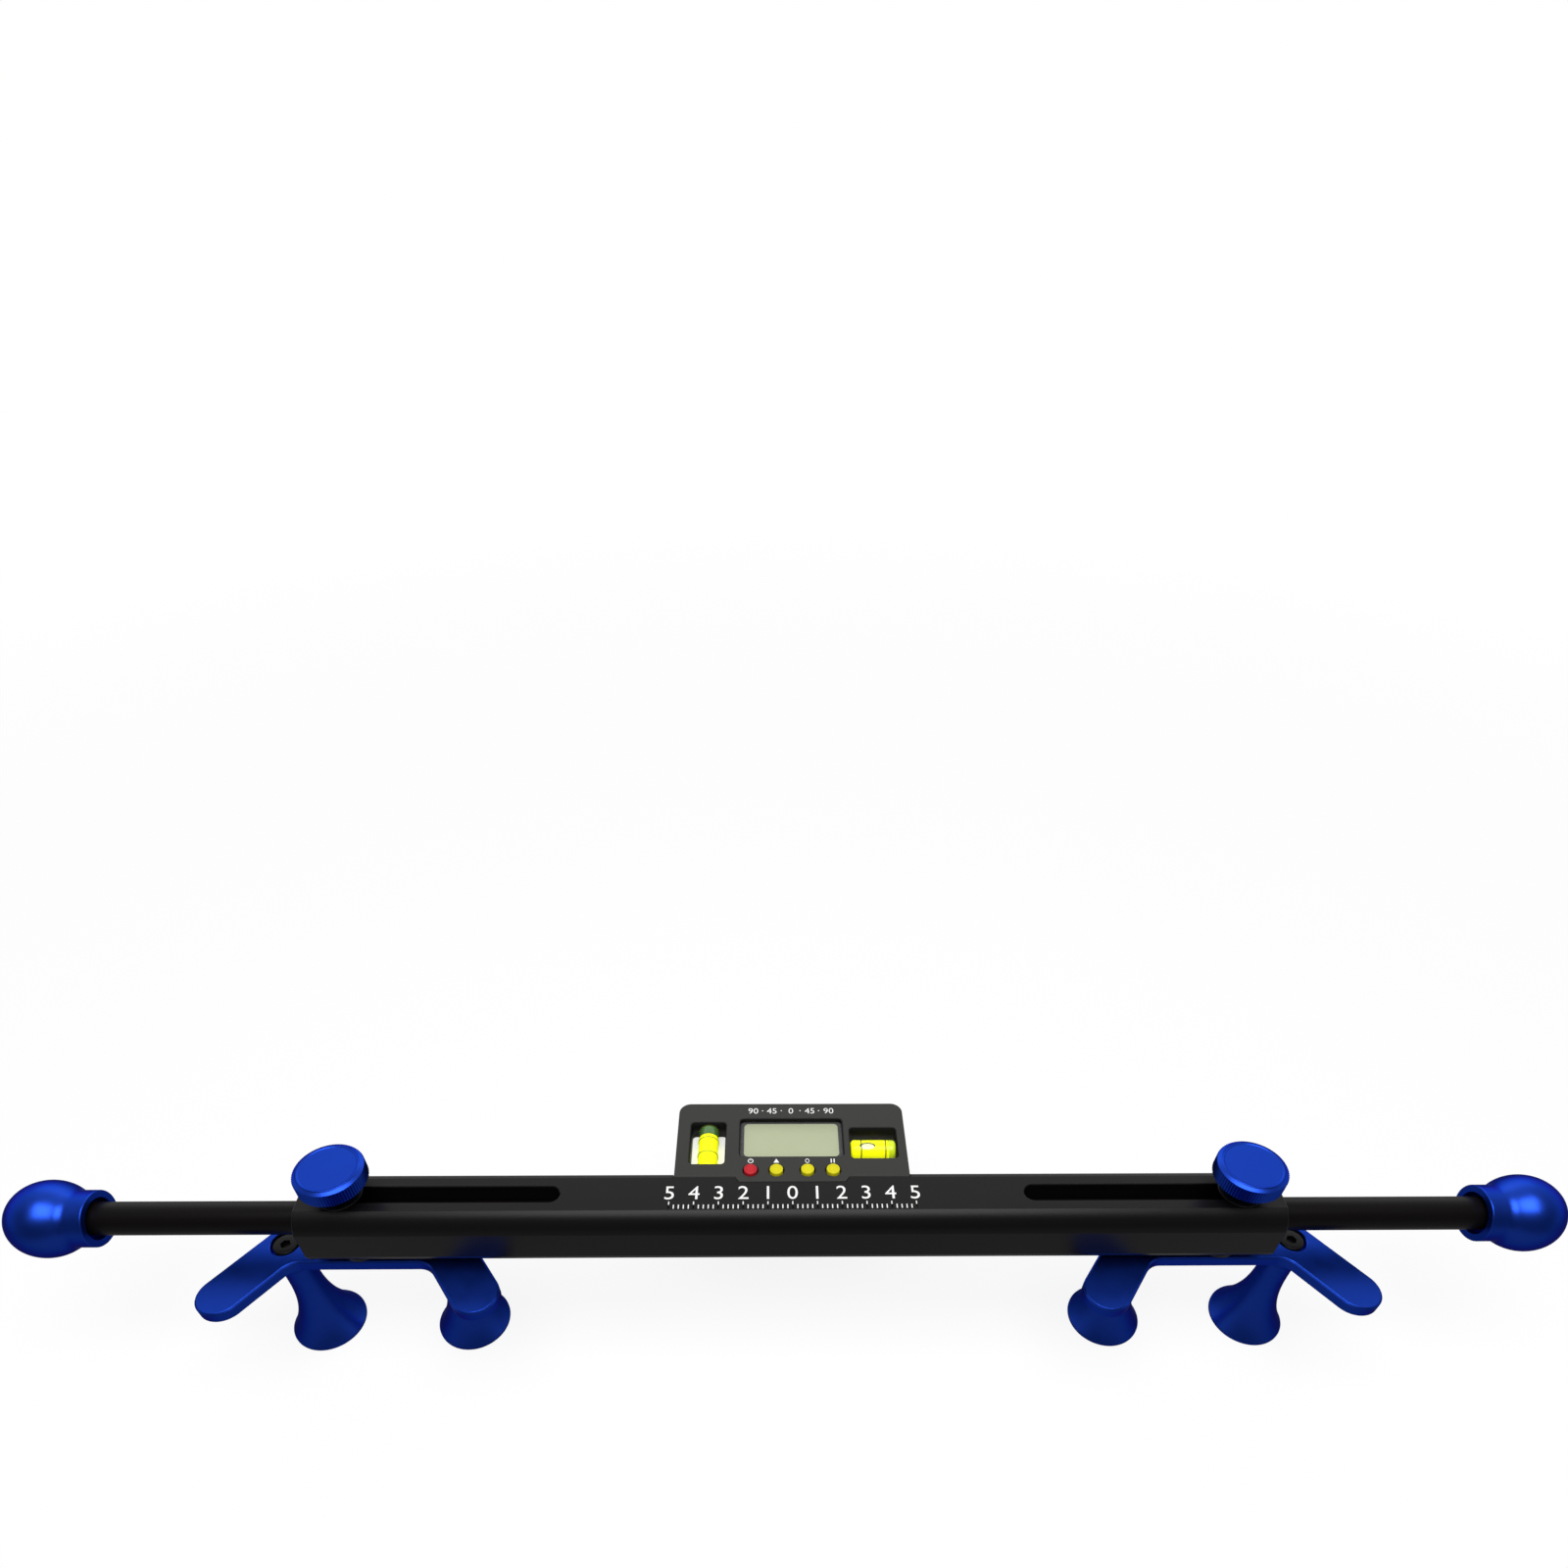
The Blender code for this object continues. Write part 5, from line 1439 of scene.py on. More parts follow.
@dataclass
class Buttons:
    """The level's four buttons and the marks above them."""

    names: ClassVar[tuple[str, ...]] = ("power_button", "unit_button", "zero_button", "hold_button")
    radius: ClassVar[float] = 0.00275
    moat: ClassVar[float] = 0.0005
    rim_drop: float = 0.0001
    rim_round: float = 0.00035
    groove_radius: float = 0.0019
    groove_width: float = 0.00022
    groove_depth: float = 0.0002
    groove_round: float = 0.0001
    centre_drop: float = 0.00002
    mark_rise: float = 0.0050
    ring_inner: float = 0.00085
    ring_outer: float = 0.00120
    ring_steps: int = 24
    stem_half: float = 0.00016
    stem_foot: float = 0.0002
    stem_top: float = 0.0015
    triangle: tuple[Point, ...] = ((-0.0012, -0.0010), (0.0012, -0.0010), (0.0, 0.0012))
    naught_width: float = 0.75
    bar_offset: float = 0.0006
    bar_half: float = 0.00025
    bar_reach: float = 0.0011

    @staticmethod
    def middle(name: str) -> Vector:
        """Return the axis of one button, whose lug reaches up behind the case."""
        low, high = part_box(name)
        return Vector(((low.x + high.x) / 2, low.y + Buttons.radius, high.z))

    def build(self) -> None:
        """Build the buttons and their marks."""
        groove = self.groove_radius
        for name in self.names:
            low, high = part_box(name)
            middle = self.middle(name)
            red = name == "power_button"
            top = high.z
            profile = rounded([(0, low.z, 0), (self.radius, low.z, 0),
                               (self.radius, top - self.rim_drop, self.rim_round),
                               (groove + self.groove_width, top, self.groove_round),
                               (groove, top - self.groove_depth, 0),
                               (groove - self.groove_width, top - self.centre_drop, self.groove_round),
                               (0, top, 0)], SMALL_FILLET_STEPS, closed=False)
            solid = placed(turned(profile, SMALL_TURN_STEPS), (middle.x, middle.y, 0))
            cap = add_piece(f"{name}_cap", solid, BUTTON_RED if red else BUTTON_YELLOW)
            settle(cap, name, "red_button" if red else "yellow_button", name)
        self.print_marks()

    def print_marks(self) -> None:
        """Print a generic mark above each button: a ring, a triangle, a naught and two bars."""
        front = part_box("level_front_case")[1].z
        meshes = []
        for name, solids in zip(self.names, self.marks()):
            middle = self.middle(name)
            place = Vector((middle.x, middle.y + self.mark_rise, front))
            meshes += [mesh_of("mark", placed(solid, place)) for solid in solids]
        settle(merged_meshes("button_marks", meshes, PRINT_WHITE), "rail", "white_plastic")

    def marks(self) -> list[list[BMesh]]:
        """Return each button's mark as solids about the origin, in the buttons' order.

        Returns:
            One list of solids for each button.
        """
        thick = PRINT_THICKNESS
        inner, outer = self.ring_inner, self.ring_outer
        ring = [(inner, 0), (outer, 0), (outer, thick), (inner, thick)]
        stem = box_solid((-self.stem_half, self.stem_foot, 0), (self.stem_half, self.stem_top, thick))
        narrow = Matrix.Diagonal((self.naught_width, 1.0, 1.0, 1.0))
        half, reach = self.bar_half, self.bar_reach
        bars = [box_solid((x - half, -reach, 0), (x + half, reach, thick))
                for x in (-self.bar_offset, self.bar_offset)]
        return [[turned(ring, self.ring_steps), stem], [prism(list(self.triangle), 0, thick)],
                [placed(turned(ring, self.ring_steps), (0, 0, 0), narrow)], bars]


@dataclass
class Face:
    """The numbers printed on the level's front, above its display."""

    numbers: tuple[tuple[float, str], ...] = ((-0.0165, "90"), (-0.0083, "45"), (0.0, "0"),
                                              (0.0083, "45"), (0.0165, "90"))
    size: float = 0.0046
    gap_above_display: float = 0.0028
    dot_size: float = 0.0005
    dot_rise: float = 0.36

    def build(self, shop: Workshop) -> None:
        """Print the numbers with a dot between each pair.

        Args:
            shop: The shared Geometry Nodes trees.
        """
        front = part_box("level_front_case")[1].z
        window = LevelCase().windows()["display"]
        foot = window.middle[1] + window.height / 2 + self.gap_above_display
        meshes = [printed_text(words, self.size, (x, foot, front)) for x, words in self.numbers]
        spacing = self.numbers[1][0] - self.numbers[0][0]
        start = (self.numbers[0][0] + spacing / 2, foot + self.size * self.dot_rise,
                 front + PRINT_THICKNESS / 2)
        meshes.append(shop.bars.mesh(PRINT_WHITE, Count=len(self.numbers) - 1, Step=(spacing, 0, 0),
                                     Start=start, Size=(self.dot_size, self.dot_size, PRINT_THICKNESS)))
        settle(merged_meshes("level_numbers", meshes, PRINT_WHITE), "rail", "white_plastic")


@dataclass
class Vial:
    """One bubble vial: tube, plug, liquid with its bubble, and two lines round the tube."""

    name: str
    turn: Matrix
    line_spread: float
    bubble_shift: float
    end_round: float = 0.0014
    wall: float = 0.0003
    plug_length: float = 0.0032
    plug_finish: Finish = VIAL_END
    line_width: float = 0.00045
    line_proud: float = 0.00001
    line_finish: Finish = DARK_LINE_AND_BUBBLE_SHADE
    bubble_half: float = 0.0030
    bubble_radius: float = 0.0014
    bubble_tilt: float = math.radians(20)
    bubble_height: float = 0.00016
    edge_height: float = 0.00008
    edge_grow: float = 1.12
    edge_lean: float = -0.10
    bead_rings: int = 24

    def build(self) -> None:
        """Build the vial's pieces about its own axis."""
        low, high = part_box(f"{self.name}_vial_tube")
        size = high - low
        half = max(size.x, size.y) / 2
        radius = min(size.x, size.y) / 2
        centre = (low + high) / 2
        inner = radius - self.wall
        plug_foot = half - self.plug_length

        shell = rounded([(0, -half, 0), (radius, -half, self.end_round), (radius, half, self.end_round),
                         (0, half, 0)], FILLET_STEPS, closed=False)
        self.fit("glass", turned(shell), VIAL_CLEAR, centre, "clear_plastic", "tube")
        plug = rounded([(0, plug_foot, 0), (inner, plug_foot, 0), (inner, half - self.wall, self.end_round),
                        (0, half - self.wall, 0)], FILLET_STEPS, closed=False)
        self.fit("end_plug", turned(plug), self.plug_finish, centre, "vial_liquid", "plug")
        fill = rounded([(0, self.wall - half, 0), (inner, self.wall - half, self.end_round),
                        (inner, plug_foot - self.wall, 0), (0, plug_foot - self.wall, 0)],
                       FILLET_STEPS, closed=False)
        self.fit("fluid", turned(fill), VIAL_LIQUID, centre, "vial_liquid", "liquid")
        self.build_lines(radius, centre)
        if self.bubble_half:
            self.build_bubble(inner, centre)

    def build_lines(self, radius: float, centre: Vector) -> None:
        """Build the two lines round the tube.

        Args:
            radius: The tube's outer radius.
            centre: The vial's middle.
        """
        inner, outer = radius - self.wall, radius + self.line_proud
        lines = []
        for direction in (-1, 1):
            low = direction * self.line_spread / 2 - self.line_width / 2
            high = low + self.line_width
            lines.append(turned([(inner, low), (outer, low), (outer, high), (inner, high)]))
        self.fit("lines", joined(lines), self.line_finish, centre, "black_steel")

    def build_bubble(self, inner: float, centre: Vector) -> None:
        """Build the bubble against the tube's wall, with painted shade: a dark patch along its upper rim.

        Args:
            inner: The tube's inner radius.
            centre: The vial's middle.
        """
        # The first bead is painted shade, a dark patch a little wider than the bubble along its upper rim.
        beads = (("bubble_edge", self.edge_grow, self.edge_lean, self.edge_height, DARK_LINE_AND_BUBBLE_SHADE),
                 ("bubble", 1.0, 0.0, self.bubble_height, BUBBLE_PALE))
        for label, grow, lean, height, finish in beads:
            bead = bmesh.new()
            bmesh.ops.create_uvsphere(bead, u_segments=2 * self.bead_rings, v_segments=self.bead_rings,
                                      radius=1)
            for vert in bead.verts:
                along, around, out = vert.co
                angle = self.bubble_tilt + lean - self.bubble_radius * grow * around / inner
                reach = inner + height * out
                vert.co = (self.bubble_shift + self.bubble_half * grow * along,
                           -reach * math.sin(angle), reach * math.cos(angle))
            bmesh.ops.recalc_face_normals(bead, faces=bead.faces)
            piece = add_piece(f"{self.name}_{label}", placed(bead, centre), finish)
            settle(piece, "rail", "vial_liquid")

    def fit(self, label: str, solid: BMesh, finish: Finish, centre: Vector, slot: str,
            node: str = "") -> None:
        """Turn a solid along the vial's axis and settle it in place.

        Args:
            label: The piece's own name within the vial.
            solid: The solid about Z.
            finish: The piece's finish.
            centre: The vial's middle.
            slot: The record's material slot.
            node: The vial's CAD piece that it stands for, if any.
        """
        piece = add_piece(f"{self.name}_vial_{label}", placed(solid, centre, self.turn), finish)
        nodes = (f"{self.name}_vial_{node}",) if node else ()
        settle(piece, "rail", slot, *nodes)


@dataclass
class Level:
    """The digital level and everything in its case."""

    shop: Workshop

    def build(self) -> None:
        """Build the level's visible pieces and dress its inner ones."""
        LevelCase().build()
        BatteryCover().build(self.shop)
        CaseScrews(self.shop).build()
        MountingScrews(self.shop).build()
        Display().build()
        Buttons().build()
        Face().build(self.shop)
        Vial("upright", ALONG_Y, line_spread=0.0080, bubble_shift=0.0, bubble_half=0.0, plug_length=0.0054,
             line_finish=VIAL_LINE).build()
        Vial("level", ALONG_X, line_spread=0.0104, bubble_shift=-0.0026, plug_finish=VIAL_TINTED_END).build()
        # The vial backings take the white finish whose glow is painted light.
        for name in ("upright_vial_backing", "level_vial_backing"):
            dress(name, BACKING_WHITE_PAINTED_LIGHT)
        dress("circuit_board", BOARD_GREEN)
        for name in ("power_switch", "unit_switch", "zero_switch", "hold_switch", "coin_cell",
                     "battery_base_contact", "battery_clip_contact"):
            dress(name, PLAIN_STEEL)


@dataclass
class SidePart:
    """A part of one side, which slides at one end of the rail."""

    shop: Workshop
    side: str
    direction: int
    stud_bore: float = 0.00308

    def __post_init__(self) -> None:
        """Read the knob's axis from the frame."""
        self.axis = middle_of(f"{self.side}_knob_washer")

    def along_rail(self, solid: BMesh, start_x: float) -> BMesh:
        """Turn a solid made about Z so that it points outward along the rail from a place.

        Args:
            solid: The solid to move.
            start_x: Where its origin goes along the rail.

        Returns:
            The same solid.
        """
        middle = middle_of(f"{self.side}_rod")
        turn = ALONG_X if self.direction > 0 else HALF_TURN @ ALONG_X
        return placed(solid, (start_x, middle.y, middle.z), turn)

    def about_axis(self, solid: BMesh) -> BMesh:
        """Shift a solid made about Z to the knob's axis."""
        return placed(solid, (self.axis.x, self.axis.y, 0))

    def ring_solid(self, node: str, bore: float, edge: float) -> BMesh:
        """Return a ring about the knob's axis that fills a CAD node's box, with rounded outer rims.

        Args:
            node: The node's name.
            bore: The radius of its bore.
            edge: The fillets' radius.

        Returns:
            The solid.
        """
        low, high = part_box(node)
        radius = (high.x - low.x) / 2
        ring = rounded([(bore, low.z, 0), (radius, low.z, edge), (radius, high.z, edge), (bore, high.z, 0)],
                       SMALL_FILLET_STEPS)
        return self.about_axis(turned(ring))


@dataclass
class Rod(SidePart):
    """The telescoping rod."""

    chamfer: float = 0.0008
    edge: float = 0.0003
    edge_steps: int = 3

    def build(self) -> None:
        """Build the telescoping rod, with the stud's cross hole."""
        low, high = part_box(f"{self.side}_rod")
        radius = (high.z - low.z) / 2
        length = high.x - low.x
        profile = rounded([(0, 0, 0), (radius - self.chamfer, 0, 0),
                           (radius, self.chamfer, self.edge), (radius, length, 0), (0, length, 0)],
                          self.edge_steps, closed=False)
        inner = low.x if self.direction > 0 else high.x
        rod = add_piece(f"{self.side}_bar", self.along_rail(turned(profile), inner), ROD_BLACK)
        carve(rod, self.about_axis(drill(self.stud_bore, low.z, high.z)))
        even_shading(rod)
        settle(rod, f"{self.side}_slider", "black_anodised", f"{self.side}_rod")


@dataclass
class BallHandle(SidePart):
    """The ball handle on the rod's outer end."""

    collar_radius: float = 0.0119
    collar_edge: float = 0.0005
    collar_edge_steps: int = 5
    blend_radius: float = 0.0060
    blend_steps: int = 12
    recess_radius: float = 0.0088
    recess_depth: float = 0.0060
    recess_edge: float = 0.0003
    socket_depth: float = 0.018
    ball_radius: float = 0.0162
    ball_centre: float = 0.0199
    ball_steps: int = 44
    end_flat_radius: float = 0.0055

    def build(self) -> None:
        """Build the ball handle: bored collar, concave waist and ball with a flattened end."""
        low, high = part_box(f"{self.side}_ball_handle")
        rod_low, rod_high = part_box(f"{self.side}_rod")
        bore = (rod_high.z - rod_low.z) / 2 + SEAT_GAP
        blend_across = self.collar_radius + self.blend_radius
        blend_drop = math.sqrt((self.ball_radius + self.blend_radius) ** 2 - blend_across ** 2)
        blend_start = self.ball_centre - blend_drop
        corners = [(0, self.socket_depth, 0), (bore, self.socket_depth, 0), (bore, self.recess_depth, 0),
                   (self.recess_radius, self.recess_depth, 0), (self.recess_radius, 0, self.recess_edge),
                   (self.collar_radius, 0, self.collar_edge), (self.collar_radius, blend_start, 0)]
        profile = rounded(corners, self.collar_edge_steps, closed=False)
        turn = math.atan2(blend_drop, blend_across)
        for step in range(1, self.blend_steps):
            angle = turn * step / self.blend_steps
            profile.append((blend_across - self.blend_radius * math.cos(angle),
                            blend_start + self.blend_radius * math.sin(angle)))
        last = math.acos(self.end_flat_radius / self.ball_radius)
        for step in range(self.ball_steps + 1):
            angle = -turn + (turn + last) * step / self.ball_steps
            profile.append((self.ball_radius * math.cos(angle),
                            self.ball_centre + self.ball_radius * math.sin(angle)))
        profile.append((0, profile[-1][1]))
        start = low.x if self.direction > 0 else high.x
        solid = self.along_rail(turned(profile, FINE_TURN_STEPS), start)
        grip = add_piece(f"{self.side}_ball", solid, BLUE_ANODISED)
        even_shading(grip)
        settle(grip, f"{self.side}_slider", "blue_anodised", f"{self.side}_ball_handle")


@dataclass
class ClampKnob(SidePart):
    """The clamping knob with its captive washer and its threaded stud."""

    neck_height: float = 0.0071
    neck_radius: float = 0.0066
    neck_edge: float = 0.0003
    neck_fillet: float = 0.0006
    knurl_count: int = 76
    knurl_depth: float = 0.00055
    taper: float = 0.0008
    band_rise: float = 0.0006
    bevel_drop: float = 0.0013
    bevel_inset: float = 0.00010
    bevel_rise: float = 0.00012
    face_radius: float = 0.0118
    face_rise: float = 0.0004
    face_sink: float = 0.00018
    face_edge: float = 0.0001
    washer_gap: float = 0.00008
    washer_edge: float = 0.0003
    thread_pitch: float = 0.0010
    thread_depth: float = 0.0005
    stud_tip: float = 0.0006

    def build(self) -> None:
        """Build the knob, the washer and the stud."""
        self.build_knob()
        self.build_washer_and_stud()

    def build_knob(self) -> None:
        """Build the clamping knob: neck, smooth taper, knurled band and bevelled face."""
        low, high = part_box(f"{self.side}_knob")
        rim = (high.x - low.x) / 2
        height = high.z - low.z
        band_low, band_high = self.neck_height + self.band_rise, height - self.bevel_drop
        root = rim - self.knurl_depth
        shoulder = self.neck_height - self.taper
        edge = self.face_edge
        profile = rounded([
            (0, 0, 0), (self.neck_radius, 0, self.neck_edge), (self.neck_radius, shoulder, self.neck_fillet),
            (root - self.taper, shoulder, self.neck_edge), (root, band_low, self.neck_edge),
            (root, band_high, 0), (rim - self.bevel_inset, band_high + self.bevel_rise, edge),
            (self.face_radius + self.face_rise, height - self.face_rise, edge),
            (self.face_radius, height, edge), (self.face_radius - self.face_rise, height, edge),
            (self.face_radius - 2 * self.face_rise, height - self.face_sink, edge),
            (0, height - self.face_sink, 0)], SMALL_FILLET_STEPS, closed=False)
        centre = Vector((self.axis.x, self.axis.y, low.z))
        body = mesh_of("knob_body", placed(turned(profile, FINE_TURN_STEPS), centre))
        ridges = self.shop.ridges.mesh(
            BLUE_ANODISED, Count=self.knurl_count, Radius=root, Reach=self.knurl_depth,
            Width=self.knurl_depth, Height=band_high - band_low,
            Centre=(centre.x, centre.y, low.z + (band_low + band_high) / 2))
        knob = merged_meshes(f"{self.side}_knob_body", [body, ridges], BLUE_ANODISED)
        even_shading(knob)
        settle(knob, f"{self.side}_clamp_knob", "blue_anodised", f"{self.side}_knob")

    def build_washer_and_stud(self) -> None:
        """Build the captive washer and the threaded stud."""
        low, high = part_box(f"{self.side}_knob_stud")
        radius = (high.x - low.x) / 2
        ring = self.ring_solid(f"{self.side}_knob_washer", radius + self.washer_gap, self.washer_edge)
        washer = add_piece(f"{self.side}_washer", ring, BLACK_OXIDE)
        settle(washer, f"{self.side}_clamp_washer", "black_steel", f"{self.side}_knob_washer")
        thread_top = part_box(f"{self.side}_bracket_plate")[1].z + self.thread_pitch
        z = low.z + self.stud_tip
        corners = [(0, low.z), (radius - self.stud_tip, low.z)]
        while z < thread_top:
            corners += [(radius, z), (radius - self.thread_depth, z + self.thread_pitch / 2)]
            z += self.thread_pitch
        corners += [(radius, z), (radius, high.z), (0, high.z)]
        pin = add_piece(f"{self.side}_stud", self.about_axis(turned(corners, SMALL_TURN_STEPS)), PLAIN_STEEL)
        settle(pin, f"{self.side}_clamp_knob", "steel", f"{self.side}_knob_stud")


@dataclass
class Bracket(SidePart):
    """The bracket: plate, hub, two flared posts and their screws."""

    plate_bend_x: float = 0.034
    plate_arm_run: float = 0.018
    plate_arm_drop: float = 0.0253
    plate_width: float = 0.020
    plate_fillet: float = 0.008
    plate_fillet_steps: int = 16
    plate_tip_share: float = 0.999
    plate_edge: float = 0.0009
    plate_edge_steps: tuple[Point, ...] = ((0.0, 1.0), (0.10, 0.82), (0.82, 0.10), (1.0, 0.0))
    counterbore_radius: float = 0.00625
    counterbore_depth: float = 0.0036
    counterbore_chamfer: float = 0.0003
    counterbore_steps: int = 64
    post_screw_bore: float = 0.0033
    screw_head_height: float = 0.0030
    screw_shank_radius: float = 0.003
    screw_socket: float = 0.004
    hub_edge: float = 0.0004
    post_lip: float = 0.0016
    post_lip_inset: float = 0.0002
    post_lip_edge: float = 0.0004
    post_overlap: float = 0.00002
    post_neck_radius: float = 0.0065
    post_collar_height: float = 0.0070
    post_groove: float = 0.0006
    flare_height: float = 0.042
    flare_power: float = 2.6
    flare_pacing: float = 1.5

    def build(self) -> None:
        """Build the bracket's pieces."""
        self.build_plate()
        self.build_hub()
        self.build_posts()
        self.build_post_screws()

    def plate_outline(self, inset: float) -> Outline:
        """Return the C-shaped plate's outline about the knob's axis, shrunk by an inset.

        Args:
            inset: How far the outline is shrunk.

        Returns:
            The outline in X and Y.
        """
        half = self.plate_width / 2 - inset
        along = Vector((self.plate_arm_run, -self.plate_arm_drop)).normalized()
        outward = Vector((-along.y, along.x))
        bend = Vector((self.plate_bend_x, 0))
        tip = bend + Vector((self.plate_arm_run, -self.plate_arm_drop)) + along * half
        outer_edge = bend + outward * half
        inner_edge = bend - outward * half
        outer_corner = outer_edge + along * (half - outer_edge.y) / along.y
        inner_corner = inner_edge + along * (-half - inner_edge.y) / along.y
        round_tip = half * self.plate_tip_share
        right = [(*outer_corner, half), (*(tip + outward * half), round_tip),
                 (*(tip - outward * half), round_tip), (*inner_corner, self.plate_fillet + inset)]
        left = [(-x, y, radius) for x, y, radius in reversed(right)]
        points = rounded(right + left, self.plate_fillet_steps)
        return [(x + self.axis.x, y + self.axis.y) for x, y in points]

    def build_plate(self) -> None:
        """Build the bracket plate with rounded rims, counterbores and the stud's hole."""
        low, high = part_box(f"{self.side}_bracket_plate")
        edge, steps = self.plate_edge, self.plate_edge_steps
        levels = [(low.z + edge * down, edge * inset) for down, inset in steps]
        levels += [(high.z - edge * down, edge * inset) for down, inset in reversed(steps)]
        rings = [[(x, y, z) for x, y in self.plate_outline(inset)] for z, inset in levels]
        plate = add_piece(f"{self.side}_plate", lofted(rings), BLUE_ANODISED)
        carve(plate, self.about_axis(drill(self.stud_bore, low.z, high.z)))
        foot = low.z - OVERRUN
        seat = high.z - self.counterbore_depth
        chamfer = self.counterbore_chamfer
        wide, narrow = self.counterbore_radius, self.post_screw_bore
        sink = [(0, foot), (narrow, foot), (narrow, seat), (wide, seat), (wide, high.z - chamfer),
                (wide + chamfer + OVERRUN, high.z + OVERRUN), (0, high.z + OVERRUN)]
        for direction in (-1, 1):
            place = (self.axis.x + direction * self.plate_bend_x, self.axis.y, 0)
            carve(plate, placed(turned(sink, self.counterbore_steps), place))
        even_shading(plate)
        settle(plate, f"{self.side}_bracket", "blue_anodised", f"{self.side}_bracket_plate")

    def build_hub(self) -> None:
        """Build the spacer between the rail and the plate."""
        ring = self.ring_solid(f"{self.side}_bracket_hub", self.stud_bore, self.hub_edge)
        hub = add_piece(f"{self.side}_hub", ring, RAIL_BLACK)
        settle(hub, f"{self.side}_bracket", "black_anodised", f"{self.side}_bracket_hub")

    def build_posts(self) -> None:
        """Build the two flared posts."""
        for place_name, direction in (("outer", self.direction), ("inner", -self.direction)):
            node = f"{self.side}_{place_name}_post"
            low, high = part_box(node)
            mouth = (high.x - low.x) / 2
            height = high.z - low.z
            neck, neck_top = self.post_neck_radius, height - self.post_collar_height
            x = self.axis.x + direction * self.plate_bend_x
            groove = self.post_groove
            trunk = self.shop.flare.mesh(
                BLUE_ANODISED, Mouth_Radius=mouth, Neck_Radius=neck,
                Flare_Height=self.flare_height - self.post_lip, Height=neck_top - self.post_lip,
                Power=self.flare_power, Pacing=self.flare_pacing,
                Centre=(x, self.axis.y, low.z + self.post_lip))
            lip_top = self.post_lip + self.post_overlap
            lip = [(0, 0, 0), (mouth - self.post_lip_inset, 0, self.post_lip_edge),
                   (mouth, self.post_lip / 2, self.post_lip_edge), (mouth, lip_top, 0), (0, lip_top, 0)]
            collar = [(0, neck_top - groove, 0), (neck - groove, neck_top - groove, 0),
                      (neck - groove, neck_top + groove, 0), (neck + groove, neck_top + groove, groove / 2),
                      (neck + groove, height, groove / 2), (0, height, 0)]
            meshes = [trunk]
            for corners in (lip, collar):
                solid = turned(rounded(corners, SMALL_FILLET_STEPS, closed=False))
                meshes.append(mesh_of("post_part", placed(solid, (x, self.axis.y, low.z))))
            post = merged_meshes(f"{self.side}_{place_name}_flared_post", meshes, BLUE_ANODISED)
            settle(post, f"{self.side}_bracket", "blue_anodised", node)

    def build_post_screws(self) -> None:
        """Build the two cap screws that hold the posts."""
        names = (f"{self.side}_outer_post_screw", f"{self.side}_inner_post_screw")
        low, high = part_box(names[0])
        seat = high.z - self.screw_head_height
        part = ScrewSet.socket_screw((high.x - low.x) / 2, self.screw_head_height, self.screw_shank_radius,
                                     seat - low.z, self.screw_socket)
        first = Vector((self.axis.x - self.plate_bend_x, self.axis.y, seat))
        step = Vector((2 * self.plate_bend_x, 0, 0))
        ScrewSet(self.shop).place_rows(f"{self.side}_post_screws", part, [(first, step, 2)],
                                       f"{self.side}_bracket", "black_steel", names)


@dataclass(frozen=True)
class Lamp:
    """One rectangular lamp: its place, its width and depth, and its power in watts."""

    name: str
    place: tuple[float, float, float]
    width: float
    depth: float
    power: float


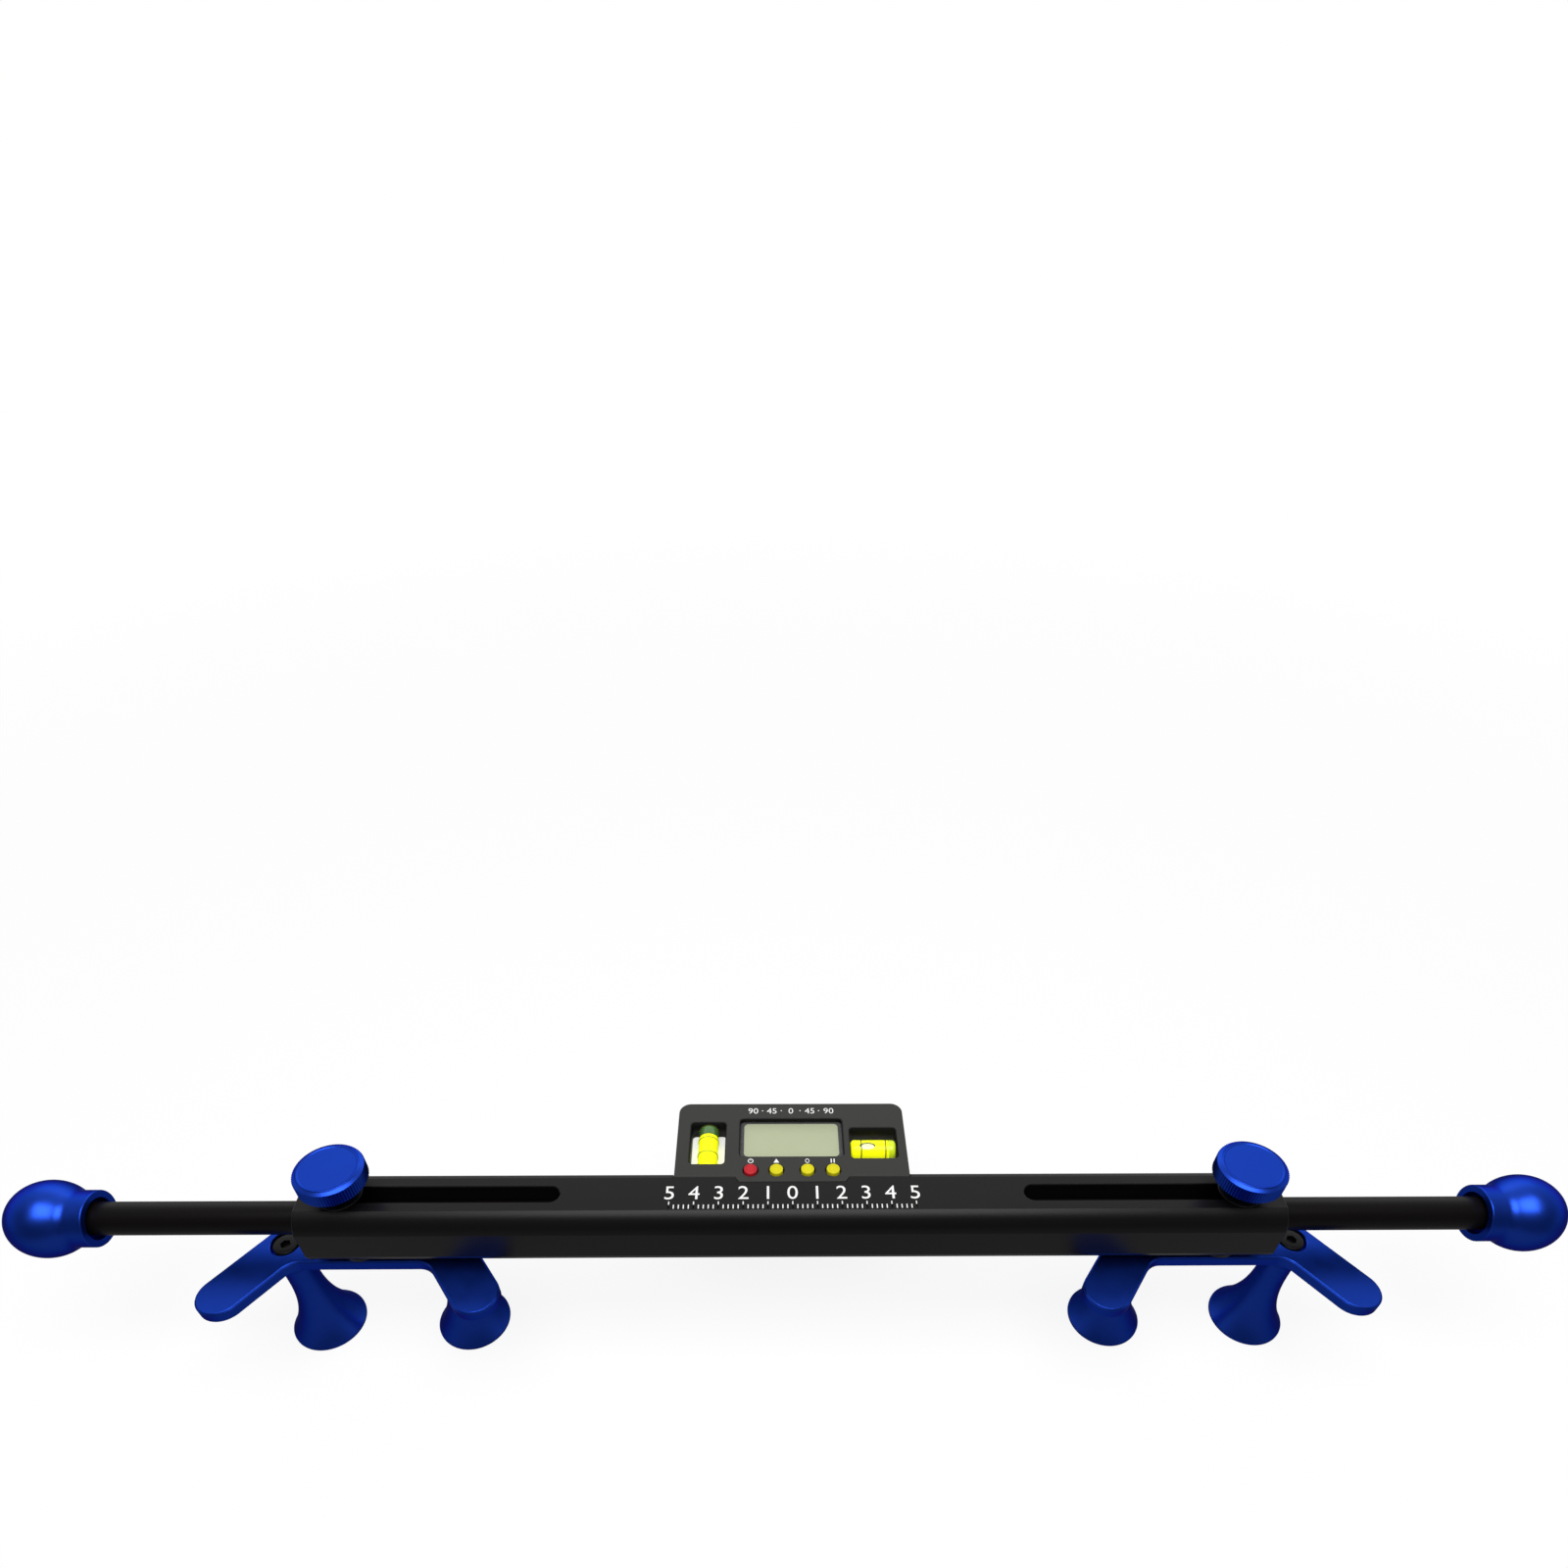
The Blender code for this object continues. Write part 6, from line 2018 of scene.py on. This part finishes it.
@dataclass
class Studio:
    """The plain floor, the light and the camera."""

    floor_half: float = 4.0
    floor_thickness: float = 0.02
    floor_dark: float = 0.32
    floor_bright: float = 0.98
    floor_fade_near: float = 0.45
    floor_fade_far: float = 1.2
    floor_glow_near: float = 0.86
    camera_place: tuple[float, float, float] = (-0.0082, -0.2614, 0.4057)
    camera_pitch: float = math.radians(43.96)
    camera_yaw: float = math.radians(-0.16)
    camera_roll: float = math.radians(-0.69)
    focal_length: float = 22.51
    sensor_width: float = 36.0
    shift_up: float = 0.206
    clip_range: Point = (0.01, 50.0)
    world_strength: float = 0.27
    dark_side: tuple[float, float, float] = (0.0, -0.78, 0.62)
    dark_strength: float = 0.10
    dark_range: Point = (-0.25, 0.80)
    lamps: tuple[Lamp, ...] = (Lamp("key_lamp", (0.0, -0.35, 1.35), 1.15, 0.9, 17.5),
                               Lamp("back_lamp", (0.0, 1.3, 0.9), 2.4, 0.8, 4.0))
    lamp_aim: tuple[float, float, float] = (0.0, 0.0, 0.06)

    def build(self) -> None:
        """Build the stage."""
        self.build_camera()
        self.build_world()
        self.build_floor()
        self.build_lamps()
        bpy.context.scene.view_settings.view_transform = "Standard"

    def build_camera(self) -> None:
        """Make the camera at the photograph's place."""
        data = bpy.data.cameras.new("camera")
        data.lens = self.focal_length
        data.sensor_width = self.sensor_width
        data.shift_y = self.shift_up
        data.clip_start, data.clip_end = self.clip_range
        camera = add_object("camera", data)
        turn = (Matrix.Rotation(self.camera_pitch, 4, "X") @ Matrix.Rotation(self.camera_roll, 4, "Y")
                @ Matrix.Rotation(self.camera_yaw, 4, "Z"))
        camera.matrix_world = Matrix.Translation(self.camera_place) @ turn
        bpy.context.scene.camera = camera

    def build_world(self) -> None:
        """Make the world white to the camera and dim elsewhere, with a soft dark side in reflections."""
        world = bpy.data.worlds.new("studio")
        bpy.context.scene.world = world
        world.use_nodes = True
        tree = world.node_tree
        link = tree.links.new
        ground = tree.nodes["Background"]
        ground.inputs["Color"].default_value = (1.0, 1.0, 1.0, 1.0)
        rays = tree.nodes.new("ShaderNodeLightPath").outputs
        place = tree.nodes.new("ShaderNodeTexCoord")
        facing = tree.nodes.new("ShaderNodeVectorMath")
        facing.operation = "DOT_PRODUCT"
        facing.inputs[1].default_value = self.dark_side
        link(place.outputs["Generated"], facing.inputs[0])
        shade = range_node(tree, facing.outputs["Value"], self.dark_range, (1.0, self.dark_strength),
                           "SMOOTHSTEP")
        mirrored = math_node(tree, "MULTIPLY", rays["Is Glossy Ray"], shade)
        direct = math_node(tree, "MAXIMUM", rays["Is Camera Ray"], rays["Is Transmission Ray"])
        scattered = math_node(tree, "MULTIPLY", rays["Is Diffuse Ray"], self.world_strength)
        strength = math_node(tree, "ADD", math_node(tree, "MAXIMUM", direct, mirrored), scattered)
        link(strength, ground.inputs["Strength"])

    def build_floor(self) -> None:
        """Make a pale floor that keeps a soft shadow."""
        made = bpy.data.materials.new(FLOOR_WHITE_NAME)
        made.use_nodes = True
        tree = made.node_tree
        nodes, link = tree.nodes, tree.links.new
        shader = nodes["Principled BSDF"]
        shader.inputs["Roughness"].default_value = 1.0
        shader.inputs["Specular IOR Level"].default_value = 0.0
        bright = nodes.new("ShaderNodeEmission")
        bright.inputs["Strength"].default_value = 1.0
        seen = nodes.new("ShaderNodeLightPath").outputs["Is Camera Ray"]
        colour = blend_node(tree, seen, (self.floor_dark,) * 3, (self.floor_bright,) * 3)
        link(colour, shader.inputs["Base Color"])
        place = nodes.new("ShaderNodeTexCoord")
        away = nodes.new("ShaderNodeVectorMath")
        away.operation = "LENGTH"
        link(place.outputs["Object"], away.inputs[0])
        fade = range_node(tree, away.outputs["Value"], (self.floor_fade_near, self.floor_fade_far),
                          (self.floor_glow_near, 1.0))
        blend = nodes.new("ShaderNodeMixShader")
        link(math_node(tree, "MULTIPLY", seen, fade), blend.inputs["Fac"])
        link(shader.outputs[0], blend.inputs[1])
        link(bright.outputs[0], blend.inputs[2])
        link(blend.outputs[0], nodes["Material Output"].inputs["Surface"])
        half = self.floor_half
        mesh = mesh_of("floor", box_solid((-half, -half, -self.floor_thickness), (half, half, 0.0)))
        mesh.materials.append(made)
        add_object("floor", mesh)

    def build_lamps(self) -> None:
        """Hang two soft lamps: a wide one high over the front, and a weak one behind."""
        for lamp in self.lamps:
            data = bpy.data.lights.new(lamp.name, "AREA")
            data.shape = "RECTANGLE"
            data.energy = lamp.power
            data.size = lamp.width
            data.size_y = lamp.depth
            hung = add_object(lamp.name, data)
            hung.location = lamp.place
            aim = Vector(self.lamp_aim) - Vector(lamp.place)
            hung.rotation_euler = aim.to_track_quat("-Z", "Y").to_euler()


def main() -> None:
    """Build the stage and the object's pieces in order."""
    logging.basicConfig(level=logging.INFO, format="%(message)s")
    Studio().build()
    shop = Workshop()
    Rail(shop).build()
    Level(shop).build()
    for side, direction in (("left", -1), ("right", 1)):
        for part in (Rod, BallHandle, ClampKnob, Bracket):
            part(shop, side, direction).build()


if __name__ == "__main__":
    main()
